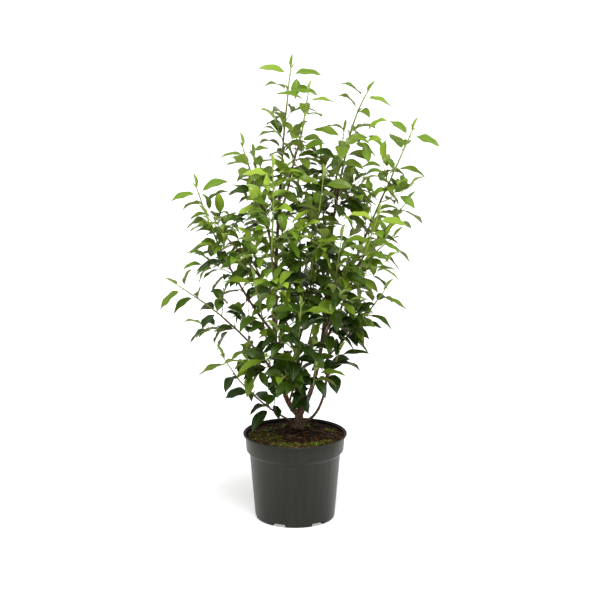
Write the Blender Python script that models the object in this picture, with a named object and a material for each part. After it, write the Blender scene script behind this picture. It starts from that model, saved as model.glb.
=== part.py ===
# Potted Portuguese laurel: a filled nursery pot, a short forked trunk, its boughs and its foliage.
# Metres, +Z up. The origin is the middle of the pot's flat underside, and -Y is the front.

import math
import random
from collections import namedtuple

import bmesh
import bpy
import numpy as np
from mathutils import Matrix, Vector
from mathutils.bvhtree import BVHTree

UP = Vector((0.0, 0.0, 1.0))

# Gaps
CLEARANCE = 0.0003           # between two solids that meet
LEAF_GAP = 0.0010            # between foliage and anything it must not touch

# Pot, a thin moulded tub with a tall collar
POT_HEIGHT = 0.235
POT_WALL = 0.0022
POT_FLOOR = 0.003
POT_BASE_RADIUS = 0.1080
POT_BODY_TOP_RADIUS = 0.1225
POT_LEDGE_RADIUS = 0.1240
POT_COLLAR_FOOT_RADIUS = 0.1315
POT_COLLAR_TOP_RADIUS = 0.1345
POT_RIM_RADIUS = 0.140
POT_MOUTH_RADIUS = 0.1370    # of the inside at the top, where it flares with the lip
POT_COLLAR_HEIGHT = 0.045    # from the collar's lower edge to the rim
POT_LEDGE_DROP = 0.012       # sloping step under the collar
POT_LIP_HEIGHT = 0.0045
POT_CORNER = 0.0060          # rounding of its foot
POT_CORNER_STEPS = 3
POT_SOFTENING = 0.0007       # small breaks of its moulded edges
POT_SMOOTH_ANGLE = math.radians(35)
POT_SEGMENTS = 40
NOTCH_COUNT = 6
NOTCH_WIDTH = 0.039
NOTCH_HEIGHT = 0.009
NOTCH_DEPTH = 0.012
NOTCH_TURN = math.radians(5.5)

# Potting compost, mounded towards the trunk's foot
SOIL_EDGE_HEIGHT = 0.2255
SOIL_TOP_HEIGHT = 0.238
SOIL_MOUNDING = 0.7          # below 1 the mound rises steeply at its edge and flattens at its top
SOIL_FLAT_RADIUS = 0.019
SOIL_TOP_RINGS = 4
SOIL_SEGMENTS = 32
SOIL_SMOOTH_ANGLE = math.radians(40)

# Trunk
TRUNK_FOOT = Vector((0.010, 0.045, SOIL_TOP_HEIGHT + CLEARANCE))
TRUNK_TOP = Vector((0.012, 0.045, 0.281))
TRUNK_RADIUS = 0.0122
TRUNK_TIP_RADIUS = 0.0098
TRUNK_TAPER_POWER = 3        # most of the taper is near the fork
TRUNK_FLARE = 0.0032         # extra radius at the soil
TRUNK_FLARE_HEIGHT = 0.009
TRUNK_ROOT_LOBES = 3
TRUNK_LOBE = 0.0016
TRUNK_SIDES = 9
TRUNK_RINGS = 6

# Boughs, and the stems that carry on from them
BOUGH_SIDES = 5
BOUGH_STEP = 0.050           # length of one straight piece
STEM_STEP = 0.045
TIP_RADIUS = 0.0013
WOBBLE = 0.010               # sideways waver, as a share of a limb's length
WAVES = 1.5                  # wavers along a limb

# Twigs
SEED = 41
GOLDEN_ANGLE = math.radians(137.5)
REACH = 0.165                # furthest that foliage stands from its own stem
TWIG_SPACING = 0.050
TWIG_LENGTH = 0.110          # at the bottom of a stem
TWIG_SHORTENING = 0.55       # share of that length lost towards the stem's tip
TWIG_RADIUS = 0.0017
TWIG_TAPER = 0.45
TWIG_STEPS = 2
TWIG_FOOT = 0.12             # share of the first step that lies inside the stem
TWIG_RISE = 0.5              # how strongly a twig turns upwards
TWIG_SPLAY = math.radians(52)
TWIG_TURNS = (0.0, 0.7, -0.7, 1.4, -1.4)   # turns round the stem that are tried for one twig
TWIG_TRIMS = (1.0, 0.7)      # shares of its length that are tried

# Leaves
LEAF_SPACING = 0.039
LEAF_END_MARGIN = 0.3        # in leaf spacings, between the last leaf and the tip
LEAF_LENGTH = 0.094          # with its stalk
LEAF_WIDTH = 0.037
LEAF_THICKNESS = 0.0020
LEAF_FOLD = 0.0050           # how far the edges stand above the midrib
LEAF_SIZES = (0.86, 1.10)
LEAF_SINK = 0.3              # how far past the twig's middle a leaf is rooted, in twig radii
LEAF_DROOP = 1.2             # how strongly a leaf bends down towards its tip
LEAF_LIFT = 0.22             # and how strongly it turns up as it sets off
LEAF_SPLAY = math.radians(58)
LEAF_STEPS = 10
LEAF_THICK_STEP = 4          # where along those steps a leaf is thickest
LEAF_WIDE_STEP = 5           # and widest
LEAF_TURNS = (0.0, 0.8, -0.8, 1.6, -1.6)
WING_ROOM = 0.024            # from a limb's tip down to the pair of leaves that spreads below it
WING_SIZE = 0.92
WING_DROOP = 0.75
WING_SPLAY = math.radians(52)
WING_TURN = 0.5              # how far such a pair may turn away from facing the front
YOUNG_LEAVES = 2             # small erect leaves at a growing tip
YOUNG_PLACE = 0.95
YOUNG_SIZE = 0.60
YOUNG_DROOP = 0.35
YOUNG_SPLAY = math.radians(24)
SKYWARD = 0.8                # leaves face partly up, and partly along their twig
TIPWARD = 0.4

# Colours
BARK_BROWN = (0.150, 0.085, 0.055)
POT_GREY = (0.045, 0.045, 0.038)
SOIL_BROWN = (0.035, 0.020, 0.014)
LEAF_GREEN = (0.045, 0.130, 0.018)
LEAF_BRIGHT = (0.160, 0.330, 0.030)

# A limb runs from a place on its parent, a share of the parent's length, to its tip.
# rise above 0 climbs first and then leans out, below 0 it leans out first and then climbs.
# bare is the share of its length below its leaves, and a limb that is bare all along has none.
Limb = namedtuple("Limb", "name parent at tip rise foot_radius tip_radius bare")

LIMBS = (
    Limb("left_stem", "trunk", 0.80, (-0.0565, 0.020, 0.560), -0.75, 0.0072, 0.0056, 1.0),
    Limb("right_stem", "trunk", 0.75, (0.081, 0.035, 0.550), -0.45, 0.0068, 0.0052, 1.0),
    Limb("thin_stem", "trunk", 0.30, (0.0885, 0.020, 0.450), -0.95, 0.0042, 0.0032, 1.0),
    Limb("leader", "left_stem", 0.98, (-0.0105, 0.020, 1.215), 0.30, 0.0054, TIP_RADIUS, 0.40),
    Limb("crown_front", "leader", 0.34, (0.034, -0.055, 1.155), -0.20, 0.0032, TIP_RADIUS, 0.30),
    Limb("left_shoulder", "leader", 0.18, (-0.135, -0.020, 1.010), 0.10, 0.0034, TIP_RADIUS, 0.32),
    Limb("bright_front", "left_stem", 0.75, (-0.057, -0.130, 0.975), -0.30, 0.0038, TIP_RADIUS, 0.28),
    Limb("high_left", "left_stem", 0.88, (-0.260, 0.030, 0.900), -0.25, 0.0038, TIP_RADIUS, 0.32),
    Limb("mid_left", "leader", 0.06, (-0.225, -0.050, 0.830), 0.10, 0.0034, TIP_RADIUS, 0.30),
    Limb("arching_left", "left_stem", 0.50, (-0.310, -0.050, 0.653), 0.22, 0.0036, TIP_RADIUS, 0.34),
    Limb("low_rosette", "arching_left", 0.12, (-0.073, -0.140, 0.479), 0.00, 0.0026, TIP_RADIUS, 0.16),
    Limb("low_left", "trunk", 0.12, (-0.188, -0.050, 0.455), -0.28, 0.0030, TIP_RADIUS, 0.24),
    Limb("left_front", "left_stem", 0.64, (-0.105, -0.150, 0.690), -0.20, 0.0034, TIP_RADIUS, 0.32),
    Limb("high_right", "right_stem", 0.98, (0.190, 0.000, 1.155), 0.55, 0.0050, TIP_RADIUS, 0.30),
    Limb("crown_right", "high_right", 0.22, (0.125, -0.090, 1.062), 0.10, 0.0034, TIP_RADIUS, 0.28),
    Limb("far_right", "right_stem", 0.90, (0.308, 0.030, 1.052), 0.00, 0.0044, TIP_RADIUS, 0.34),
    Limb("right_back", "far_right", 0.26, (0.297, 0.120, 0.840), 0.00, 0.0030, TIP_RADIUS, 0.30),
    Limb("right_front", "right_stem", 0.75, (0.213, -0.120, 0.852), -0.10, 0.0036, TIP_RADIUS, 0.32),
    Limb("middle_right", "right_stem", 0.45, (0.120, -0.160, 0.803), -0.20, 0.0036, TIP_RADIUS, 0.35),
    Limb("thin_right", "thin_stem", 0.98, (0.236, -0.020, 0.632), -0.10, 0.0030, TIP_RADIUS, 0.16),
    Limb("low_right", "thin_stem", 0.78, (0.118, -0.060, 0.475), 0.00, 0.0026, TIP_RADIUS, 0.14),
    Limb("centre_front", "left_stem", 0.42, (0.072, -0.110, 0.945), -0.30, 0.0038, TIP_RADIUS, 0.38),
    Limb("low_front", "left_stem", 0.25, (0.015, -0.200, 0.630), -0.20, 0.0032, TIP_RADIUS, 0.18),
    Limb("foot_front", "right_stem", 0.20, (0.054, -0.125, 0.442), -0.20, 0.0028, TIP_RADIUS, 0.20),
    Limb("back_middle", "trunk", 0.60, (0.010, 0.230, 0.880), -0.20, 0.0062, TIP_RADIUS, 0.46),
    Limb("back_low", "back_middle", 0.22, (0.065, 0.215, 0.530), 0.0, 0.0032, TIP_RADIUS, 0.32),
    Limb("back_left", "back_middle", 0.34, (-0.160, 0.190, 0.735), 0.10, 0.0036, TIP_RADIUS, 0.34),
    Limb("back_right", "back_middle", 0.42, (0.268, 0.175, 0.735), 0.10, 0.0036, TIP_RADIUS, 0.34),
    Limb("back_high_left", "leader", 0.12, (-0.110, 0.150, 0.960), 0.10, 0.0034, TIP_RADIUS, 0.34),
    Limb("back_high_right", "high_right", 0.12, (0.070, 0.150, 0.970), 0.10, 0.0034, TIP_RADIUS, 0.34),
)

BRIGHT = {"leader", "crown_front", "bright_front", "high_right", "far_right", "right_front", "high_left"}


def principled(name, colour, roughness):
    material = bpy.data.materials.new(name)
    material.use_nodes = True
    shader = material.node_tree.nodes["Principled BSDF"]
    shader.inputs["Base Color"].default_value = (*colour, 1.0)
    shader.inputs["Roughness"].default_value = roughness
    shader.inputs["Metallic"].default_value = 0.0
    return material


def add_object(name, bm, material=None, smooth_angle=None):
    bmesh.ops.recalc_face_normals(bm, faces=bm.faces)
    mesh = bpy.data.meshes.new(name)
    bm.to_mesh(mesh)
    bm.free()
    if smooth_angle is not None:
        mesh.shade_smooth()
        mesh.set_sharp_from_angle(angle=smooth_angle)
    if material is not None:
        mesh.materials.append(material)
    obj = bpy.data.objects.new(name, mesh)
    bpy.context.scene.collection.objects.link(obj)
    return obj


# Swept shapes

def directions_along(points):
    last = len(points) - 1
    return [(points[min(i + 1, last)] - points[max(i - 1, 0)]).normalized() for i in range(last + 1)]


def tube(points, radii, sides, pointed_foot=False, pointed_tip=False):
    # A section drawn along the points. A pointed end closes on the first or last point.
    bm = bmesh.new()
    heads = directions_along(points)
    first = 1 if pointed_foot else 0
    last = len(points) - (1 if pointed_tip else 0)
    turn = None
    previous = None
    for i in range(first, last):
        if turn is None:
            turn = heads[i].to_track_quat("Z", "Y")
        else:
            turn = heads[i - 1].rotation_difference(heads[i]) @ turn
        frame = Matrix.Translation(points[i]) @ turn.to_matrix().to_4x4()
        made = bmesh.ops.create_circle(bm, segments=sides, radius=radii[i], matrix=frame)["verts"]
        if previous is None:
            close_end(bm, made, points[0] if pointed_foot else None)
        else:
            for k in range(sides):
                n = (k + 1) % sides
                bm.faces.new((previous[k], previous[n], made[n], made[k]))
        previous = made
    close_end(bm, previous, points[-1] if pointed_tip else None)
    return bm


def close_end(bm, ring, point):
    if point is None:
        bm.faces.new(ring)
        return
    peak = bm.verts.new(point)
    for k in range(len(ring)):
        bm.faces.new((ring[k], ring[(k + 1) % len(ring)], peak))


def swept(start, heading, length, pull, steps):
    # Points of a growth that sets off along heading and is drawn ever more towards pull
    points = [start.copy()]
    for i in range(steps):
        direction = (heading + pull * ((i + 0.5) / steps)).normalized()
        points.append(points[-1] + direction * (length / steps))
    return points


# Limbs

def limb_point(route, share):
    start, control, tip, waver, phase = route
    rest = 1.0 - share
    point = start * (rest * rest) + control * (2.0 * share * rest) + tip * (share * share)
    swing = math.sin(2.0 * math.pi * WAVES * share + phase)
    return point + waver * (math.sin(math.pi * share) * swing)


def limb_routes():
    routes = {"trunk": (TRUNK_FOOT, (TRUNK_FOOT + TRUNK_TOP) / 2.0, TRUNK_TOP, Vector(), 0.0)}
    for number, limb in enumerate(LIMBS):
        start = limb_point(routes[limb.parent], limb.at)
        tip = Vector(limb.tip)
        span = tip - start
        out = (1.0 - limb.rise) / 2.0
        climb = (1.0 + limb.rise) / 2.0
        control = start + Vector((span.x * out, span.y * out, span.z * climb))
        side = span.cross(UP).normalized()
        waver = side * (WOBBLE * span.length)
        routes[limb.name] = (start, control, tip, waver, number * GOLDEN_ANGLE)
    return routes


def limb_stretch(limb, route, begin, end, step):
    count = max(2, round((route[2] - route[0]).length * (end - begin) / step))
    shares = [begin + (end - begin) * i / count for i in range(count + 1)]
    points = [limb_point(route, s) for s in shares]
    radii = [limb.foot_radius + (limb.tip_radius - limb.foot_radius) * s for s in shares]
    return points, radii


def fattened(points, radii, sides, gap):
    # The same limb with a gap all round it and past its ends
    heads = directions_along(points)
    grown = list(points)
    grown[0] = points[0] - heads[0] * gap
    grown[-1] = points[-1] + heads[-1] * gap
    return tube(grown, [r + gap / math.cos(math.pi / sides) for r in radii], sides)


def trunk_outline(gap=0.0):
    bm = bmesh.new()
    previous = None
    for i in range(TRUNK_RINGS):
        share = i / (TRUNK_RINGS - 1)
        centre = TRUNK_FOOT.lerp(TRUNK_TOP, share)
        height = centre.z - TRUNK_FOOT.z
        flare = math.exp(-height / TRUNK_FLARE_HEIGHT)
        centre.z += gap if i == TRUNK_RINGS - 1 else 0.0
        radius = TRUNK_RADIUS + (TRUNK_TIP_RADIUS - TRUNK_RADIUS) * share ** TRUNK_TAPER_POWER
        radius += TRUNK_FLARE * flare
        ring = []
        for k in range(TRUNK_SIDES):
            angle = 2.0 * math.pi * k / TRUNK_SIDES
            lobe = TRUNK_LOBE * flare * math.cos(TRUNK_ROOT_LOBES * angle)
            r = radius + lobe + gap / math.cos(math.pi / TRUNK_SIDES)
            ring.append(bm.verts.new(centre + Vector((math.cos(angle) * r, math.sin(angle) * r, 0.0))))
        if previous is None:
            bm.faces.new(ring)
        else:
            for k in range(TRUNK_SIDES):
                n = (k + 1) % TRUNK_SIDES
                bm.faces.new((previous[k], previous[n], ring[n], ring[k]))
        previous = ring
    bm.faces.new(previous)
    return bm


def cut_clear(obj, cutters):
    # Cuts the foot back to a clearance from each neighbour
    for bm in cutters:
        cutter = add_object("cutter", bm)
        cutter.hide_render = True
        cutter.display_type = "WIRE"
        cut = obj.modifiers.new("foot", "BOOLEAN")
        cut.operation = "DIFFERENCE"
        cut.solver = "EXACT"
        cut.object = cutter
        apply_modifiers(obj)
        bpy.data.objects.remove(cutter)
    keep_largest(obj)


def apply_modifiers(obj):
    graph = bpy.context.evaluated_depsgraph_get()
    mesh = bpy.data.meshes.new_from_object(obj.evaluated_get(graph))
    mesh.name = obj.name
    obj.modifiers.clear()
    old = obj.data
    obj.data = mesh
    bpy.data.meshes.remove(old)


def keep_largest(obj):
    # Drops loose scraps and the inner shell of a sealed hollow
    bm = bmesh.new()
    bm.from_mesh(obj.data)
    bmesh.ops.triangulate(bm, faces=bm.faces)
    islands = []
    left = set(bm.faces)
    while left:
        stack = [left.pop()]
        island = set(stack)
        while stack:
            face = stack.pop()
            for edge in face.edges:
                for other in edge.link_faces if edge.is_manifold else ():
                    if other in left:
                        left.discard(other)
                        island.add(other)
                        stack.append(other)
        islands.append(island)
    biggest = max(islands, key=lambda faces: sum(f.calc_area() for f in faces))
    scraps = [f for island in islands if island is not biggest for f in island]
    if scraps:
        bmesh.ops.delete(bm, geom=scraps, context="FACES")
    bm.to_mesh(obj.data)
    bm.free()


def build_trunk(material):
    return add_object("trunk", trunk_outline(), material)


def bough_name(limb):
    return limb.name if limb.bare == 1.0 else limb.name + "_bough"


def build_boughs(routes, material):
    # A foot is cut clear of its parent, and of an earlier limb that leaves the parent beside it
    stretches = {}
    for limb in LIMBS:
        points, radii = limb_stretch(limb, routes[limb.name], 0.0, limb.bare, BOUGH_STEP)
        shape = tube(points, radii, BOUGH_SIDES)
        tree = solid_tree(shape)
        obj = add_object(bough_name(limb), shape, material)
        cutters = [trunk_outline(CLEARANCE) if limb.parent == "trunk" else
                   fattened(*stretches[limb.parent], BOUGH_SIDES, CLEARANCE)]
        for other in LIMBS[:LIMBS.index(limb)]:
            if other.parent == limb.parent:
                neighbour = fattened(*stretches[other.name], BOUGH_SIDES, CLEARANCE)
                if tree.overlap(solid_tree(neighbour)):
                    cutters.append(neighbour)
        cut_clear(obj, cutters)
        stretches[limb.name] = (points, radii)


# Foliage

class Spaces:
    # Each mass's space is what lies nearer to its own stem than to any other, within its reach.
    def __init__(self, stems):
        starts, ends, owners = [], [], []
        for owner, points in enumerate(stems):
            for a, b in zip(points, points[1:]):
                starts.append(a)
                ends.append(b)
                owners.append(owner)
        self.starts = np.array(starts)
        self.spans = np.array(ends) - self.starts
        self.squares = (self.spans ** 2).sum(axis=1)
        self.owners = np.array(owners)

    def holds(self, owner, points):
        offset = np.array(points)[:, None, :] - self.starts[None, :, :]
        along = np.clip((offset * self.spans).sum(axis=2) / self.squares, 0.0, 1.0)
        away = np.linalg.norm(offset - along[..., None] * self.spans, axis=2)
        own = away[:, self.owners == owner].min(axis=1)
        other = away[:, self.owners != owner].min(axis=1)
        return bool((own < REACH).all() and (other - own > LEAF_GAP).all())


def solid_tree(bm):
    bm.verts.ensure_lookup_table()
    return BVHTree.FromBMesh(bm)


def leaf_frame(midrib, step, facing):
    along = (midrib[step + 1] - midrib[step - 1]).normalized()
    side = along.cross(facing).normalized()
    return side, side.cross(along).normalized()


def leaf_solid(midrib, facing, width, gap=0.0):
    # Eight faces: a pointed blade, arched along its midrib and folded up at its edges
    side, normal = leaf_frame(midrib, LEAF_WIDE_STEP, facing)
    thick = normal * (LEAF_THICKNESS / 2.0 + gap)
    wide = side * (width / 2.0 + gap)
    fold = normal * LEAF_FOLD
    bm = bmesh.new()
    root = bm.verts.new(midrib[0])
    tip = bm.verts.new(midrib[-1] + (midrib[-1] - midrib[-2]).normalized() * gap)
    left = bm.verts.new(midrib[LEAF_WIDE_STEP] - wide + fold)
    right = bm.verts.new(midrib[LEAF_WIDE_STEP] + wide + fold)
    top = bm.verts.new(midrib[LEAF_THICK_STEP] + thick)
    under = bm.verts.new(midrib[LEAF_THICK_STEP] - thick)
    ring = (left, top, right, under)
    for k in range(4):
        n = (k + 1) % 4
        bm.faces.new((ring[k], ring[n], tip))
        bm.faces.new((ring[n], ring[k], root))
    bmesh.ops.recalc_face_normals(bm, faces=bm.faces)
    return bm


def around(direction, angle, splay):
    # A heading that leaves direction by splay, turned round it by angle
    turn = direction.to_track_quat("Z", "Y")
    heading = Vector((math.sin(splay) * math.cos(angle), math.sin(splay) * math.sin(angle), math.cos(splay)))
    return turn @ heading


class Mass:
    # One stem with its twigs and leaves, kept to its own space and clear of the limbs
    def __init__(self, number, limb, route, spaces, limbs_tree):
        self.number = number
        self.limb = limb
        self.spaces = spaces
        self.limbs_tree = limbs_tree
        self.rng = random.Random(SEED + number)
        begin = limb.bare + CLEARANCE / (route[2] - route[0]).length
        self.stem, self.radii = limb_stretch(limb, route, begin, 1.0, STEM_STEP)
        self.pieces = []
        self.trees = []
        self.leaf_count = 0

    def grow(self):
        self.shoots = [(self.stem, self.radii)]
        self.add_piece(tube(self.stem, self.radii, 3, pointed_tip=True))
        self.add_twigs()
        for owner, (points, radii) in enumerate(self.shoots):
            self.add_leaves(owner, points, radii[0] * LEAF_SINK)

    def add_piece(self, bm):
        self.pieces.append(bm)
        self.trees.append(solid_tree(bm))

    def free(self, bm, owner):
        tree = solid_tree(bm)
        if tree.overlap(self.limbs_tree):
            return False
        if not self.spaces.holds(self.number, [v.co for v in bm.verts]):
            return False
        return not any(tree.overlap(t) for i, t in enumerate(self.trees) if i != owner)

    def add_twigs(self):
        length = sum((b - a).length for a, b in zip(self.stem, self.stem[1:]))
        count = int(length / TWIG_SPACING)
        start_angle = self.rng.uniform(0.0, 2.0 * math.pi)
        for i in range(count):
            share = (i + 1.0 / 3.0) / (count + 1.0 / 3.0)
            base, heading = place_on(self.stem, share)
            full = TWIG_LENGTH * (1.0 - TWIG_SHORTENING * share) * self.rng.uniform(*LEAF_SIZES)
            for trim in TWIG_TRIMS:
                if self.try_twig(base, heading, start_angle + i * GOLDEN_ANGLE, full * trim):
                    break

    def try_twig(self, base, heading, angle, length):
        for turn in TWIG_TURNS:
            set_off = around(heading, angle + turn, TWIG_SPLAY)
            points = swept(base, set_off, length, UP * TWIG_RISE, TWIG_STEPS)
            points.insert(1, points[0].lerp(points[1], TWIG_FOOT))
            radii = [TWIG_RADIUS * (1.0 - TWIG_TAPER * k / (len(points) - 1)) for k in range(len(points))]
            shape = tube(points, radii, 3, pointed_foot=True, pointed_tip=True)
            if self.free(shape, 0):
                self.add_piece(shape)
                self.shoots.append((points, radii))
                return True
            shape.free()
        return False

    def add_leaves(self, owner, points, sink):
        length = sum((b - a).length for a, b in zip(points, points[1:]))
        count = max(1, round(length / LEAF_SPACING))
        angle = self.rng.uniform(0.0, 2.0 * math.pi)
        for i in range(count):
            base, heading = place_on(points, (i + 0.5) / (count + LEAF_END_MARGIN))
            size = self.rng.uniform(*LEAF_SIZES)
            self.try_leaf(owner, base, heading, angle, size, LEAF_SPLAY, LEAF_DROOP, sink)
            angle += GOLDEN_ANGLE
        if owner == 0:
            self.add_wings(points, length)
        base, heading = place_on(points, YOUNG_PLACE)
        for i in range(YOUNG_LEAVES):
            size = self.rng.uniform(*LEAF_SIZES) * YOUNG_SIZE
            self.try_leaf(owner, base, heading, angle, size, YOUNG_SPLAY, YOUNG_DROOP, 0.0)
            angle += GOLDEN_ANGLE

    def add_wings(self, points, length):
        # The pair of young leaves that spreads sideways below a limb's tip
        base, heading = place_on(points, 1.0 - WING_ROOM / length)
        across = Vector((1.0, self.rng.uniform(-WING_TURN, WING_TURN), 0.0))
        across = (across - heading * across.dot(heading)).normalized()
        for side in (-1.0, 1.0):
            set_off = heading * math.cos(WING_SPLAY) + across * (side * math.sin(WING_SPLAY))
            size = self.rng.uniform(*LEAF_SIZES) * WING_SIZE
            self.place_leaf(0, base, set_off, UP, size, WING_DROOP, 0.0)

    def try_leaf(self, owner, base, heading, angle, size, splay, droop, sink):
        facing = (UP * SKYWARD + heading * TIPWARD).normalized()
        for turn in LEAF_TURNS:
            set_off = (around(heading, angle + turn, splay) + UP * LEAF_LIFT).normalized()
            if self.place_leaf(owner, base, set_off, facing, size, droop, sink):
                return

    def place_leaf(self, owner, base, set_off, facing, size, droop, sink):
        midrib = swept(base - set_off * sink, set_off, LEAF_LENGTH * size, UP * -droop, LEAF_STEPS)
        probe = leaf_solid(midrib, facing, LEAF_WIDTH * size, LEAF_GAP)
        clear = self.free(probe, owner)
        probe.free()
        if clear:
            self.add_piece(leaf_solid(midrib, facing, LEAF_WIDTH * size))
            self.leaf_count += 1
        return clear

    def fuse(self, material):
        name = self.limb.name + "_leaves"
        obj = add_object(name, self.pieces[0], material)
        group = bpy.data.collections.new(name + "_pieces")
        for piece in self.pieces[1:]:
            part = add_object("piece", piece)
            bpy.context.scene.collection.objects.unlink(part)
            group.objects.link(part)
        union = obj.modifiers.new("leaves", "BOOLEAN")
        union.operation = "UNION"
        union.solver = "EXACT"
        union.operand_type = "COLLECTION"
        union.collection = group
        apply_modifiers(obj)
        for part in list(group.objects):
            bpy.data.objects.remove(part)
        bpy.data.collections.remove(group)
        keep_largest(obj)
        return obj


def place_on(points, share):
    lengths = [(b - a).length for a, b in zip(points, points[1:])]
    target = share * sum(lengths)
    for a, b, length in zip(points, points[1:], lengths):
        if target <= length:
            return a.lerp(b, target / length), (b - a).normalized()
        target -= length
    return points[-1].copy(), (points[-1] - points[-2]).normalized()


def build_foliage(routes, green, bright):
    leafy = [limb for limb in LIMBS if limb.bare < 1.0]
    limbs = trunk_outline(LEAF_GAP)
    for limb in LIMBS:
        points, radii = limb_stretch(limb, routes[limb.name], 0.0, limb.bare, BOUGH_STEP)
        shape = tube(points, [r + LEAF_GAP for r in radii], BOUGH_SIDES)
        mesh = bpy.data.meshes.new("limb")
        shape.to_mesh(mesh)
        shape.free()
        limbs.from_mesh(mesh)
        bpy.data.meshes.remove(mesh)
    limbs_tree = solid_tree(limbs)
    stems = [limb_stretch(limb, routes[limb.name], limb.bare, 1.0, STEM_STEP)[0] for limb in leafy]
    spaces = Spaces(stems)
    total = 0
    for number, limb in enumerate(leafy):
        mass = Mass(number, limb, routes[limb.name], spaces, limbs_tree)
        mass.grow()
        obj = mass.fuse(bright if limb.name in BRIGHT else green)
        total += mass.leaf_count
        print(obj.name, mass.leaf_count, "leaves", len(mass.shoots) - 1, "twigs", len(obj.data.polygons))
    print("leaves in all:", total)
    limbs.free()


# Pot and compost

def inner_radius(height):
    # The pot's inside radius at a height
    neck = POT_HEIGHT - POT_COLLAR_HEIGHT - POT_LEDGE_DROP
    shoulder = POT_HEIGHT - POT_COLLAR_HEIGHT
    stops = ((0.0, POT_BASE_RADIUS), (neck, POT_BODY_TOP_RADIUS), (shoulder, POT_COLLAR_FOOT_RADIUS),
             (POT_HEIGHT, POT_COLLAR_TOP_RADIUS))
    for (z0, r0), (z1, r1) in zip(stops, stops[1:]):
        if height <= z1:
            return r0 + (r1 - r0) * (height - z0) / (z1 - z0) - POT_WALL
    return POT_COLLAR_TOP_RADIUS - POT_WALL


def pot_profile():
    # From the middle of the underside, up the outside, over the lip and down the inside
    neck = POT_HEIGHT - POT_COLLAR_HEIGHT - POT_LEDGE_DROP
    shoulder = POT_HEIGHT - POT_COLLAR_HEIGHT
    lip = POT_HEIGHT - POT_LIP_HEIGHT
    soft = POT_SOFTENING
    foot = [(0.0, 0.0)]
    for i in range(POT_CORNER_STEPS + 1):
        angle = math.pi / 2.0 * i / POT_CORNER_STEPS
        foot.append((POT_BASE_RADIUS - POT_CORNER * (1.0 - math.sin(angle)),
                     POT_CORNER * (1.0 - math.cos(angle))))
    outside = [(POT_BODY_TOP_RADIUS, neck), (POT_LEDGE_RADIUS, neck + soft),
               (POT_COLLAR_FOOT_RADIUS, shoulder - soft), (POT_COLLAR_FOOT_RADIUS, shoulder + soft),
               (POT_COLLAR_TOP_RADIUS, lip - soft), (POT_RIM_RADIUS, lip),
               (POT_RIM_RADIUS, POT_HEIGHT - soft), (POT_RIM_RADIUS - soft, POT_HEIGHT)]
    inside = [(POT_MOUTH_RADIUS, POT_HEIGHT), (inner_radius(lip), lip), (inner_radius(shoulder), shoulder),
              (inner_radius(neck), neck), (inner_radius(POT_CORNER), POT_CORNER),
              (POT_BASE_RADIUS - POT_CORNER, POT_FLOOR), (0.0, POT_FLOOR)]
    return foot + outside + inside


def spin_profile(profile, segments):
    bm = bmesh.new()
    verts = [bm.verts.new((r, 0.0, z)) for r, z in profile]
    edges = [bm.edges.new(pair) for pair in zip(verts, verts[1:])]
    bmesh.ops.spin(bm, geom=verts + edges, cent=(0, 0, 0), axis=(0, 0, 1), angle=2.0 * math.pi,
                   steps=segments, use_merge=True)
    bmesh.ops.remove_doubles(bm, verts=bm.verts, dist=1e-6)
    return bm


def build_pot(material):
    obj = add_object("pot", spin_profile(pot_profile(), POT_SEGMENTS), material, POT_SMOOTH_ANGLE)
    cutter_bm = bmesh.new()
    for k in range(NOTCH_COUNT):
        turn = Matrix.Rotation(NOTCH_TURN + 2.0 * math.pi * k / NOTCH_COUNT, 4, "Z")
        place = turn @ Matrix.Translation((POT_BASE_RADIUS, 0.0, 0.0))
        size = Matrix.Diagonal((2.0 * NOTCH_DEPTH, NOTCH_WIDTH, 2.0 * NOTCH_HEIGHT, 1.0))
        bmesh.ops.create_cube(cutter_bm, size=1.0, matrix=place @ size)
    cutter = add_object("notch_cutter", cutter_bm)
    cutter.hide_render = True
    cutter.display_type = "WIRE"
    cut = obj.modifiers.new("drain_notches", "BOOLEAN")
    cut.operation = "DIFFERENCE"
    cut.solver = "EXACT"
    cut.object = cutter


def build_soil(material):
    bm = bmesh.new()
    low = POT_FLOOR + CLEARANCE
    neck = POT_HEIGHT - POT_COLLAR_HEIGHT - POT_LEDGE_DROP
    shoulder = POT_HEIGHT - POT_COLLAR_HEIGHT
    chord = math.cos(math.pi / POT_SEGMENTS)
    stops = [(low, POT_BASE_RADIUS - POT_CORNER)]
    stops += [(height, inner_radius(height)) for height in (POT_CORNER, neck, shoulder, SOIL_EDGE_HEIGHT)]
    rings = [(0.0, 0.0, height, radius * chord - 2.0 * CLEARANCE) for height, radius in stops]
    edge = rings[-1][3]
    for i in range(1, SOIL_TOP_RINGS + 1):
        share = i / SOIL_TOP_RINGS
        height = SOIL_EDGE_HEIGHT + (SOIL_TOP_HEIGHT - SOIL_EDGE_HEIGHT) * share ** SOIL_MOUNDING
        rings.append((TRUNK_FOOT.x * share, TRUNK_FOOT.y * share, height,
                      edge + (SOIL_FLAT_RADIUS - edge) * share))
    previous = None
    for x, y, z, radius in rings:
        place = Matrix.Translation((x, y, z))
        ring = bmesh.ops.create_circle(bm, segments=SOIL_SEGMENTS, radius=radius, matrix=place)["verts"]
        if previous is None:
            bm.faces.new(ring)
        else:
            for k in range(SOIL_SEGMENTS):
                n = (k + 1) % SOIL_SEGMENTS
                bm.faces.new((previous[k], previous[n], ring[n], ring[k]))
        previous = ring
    bm.faces.new(previous)
    return add_object("soil", bm, material, SOIL_SMOOTH_ANGLE)


def main():
    for obj in list(bpy.data.objects):
        bpy.data.objects.remove(obj)
    bark = principled("bark", BARK_BROWN, 0.85)
    green = principled("mature_leaves", LEAF_GREEN, 0.35)
    bright = principled("young_leaves", LEAF_BRIGHT, 0.35)
    build_pot(principled("pot_plastic", POT_GREY, 0.45))
    build_soil(principled("compost", SOIL_BROWN, 0.95))
    build_trunk(bark)
    routes = limb_routes()
    build_boughs(routes, bark)
    build_foliage(routes, green, bright)


main()
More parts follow.
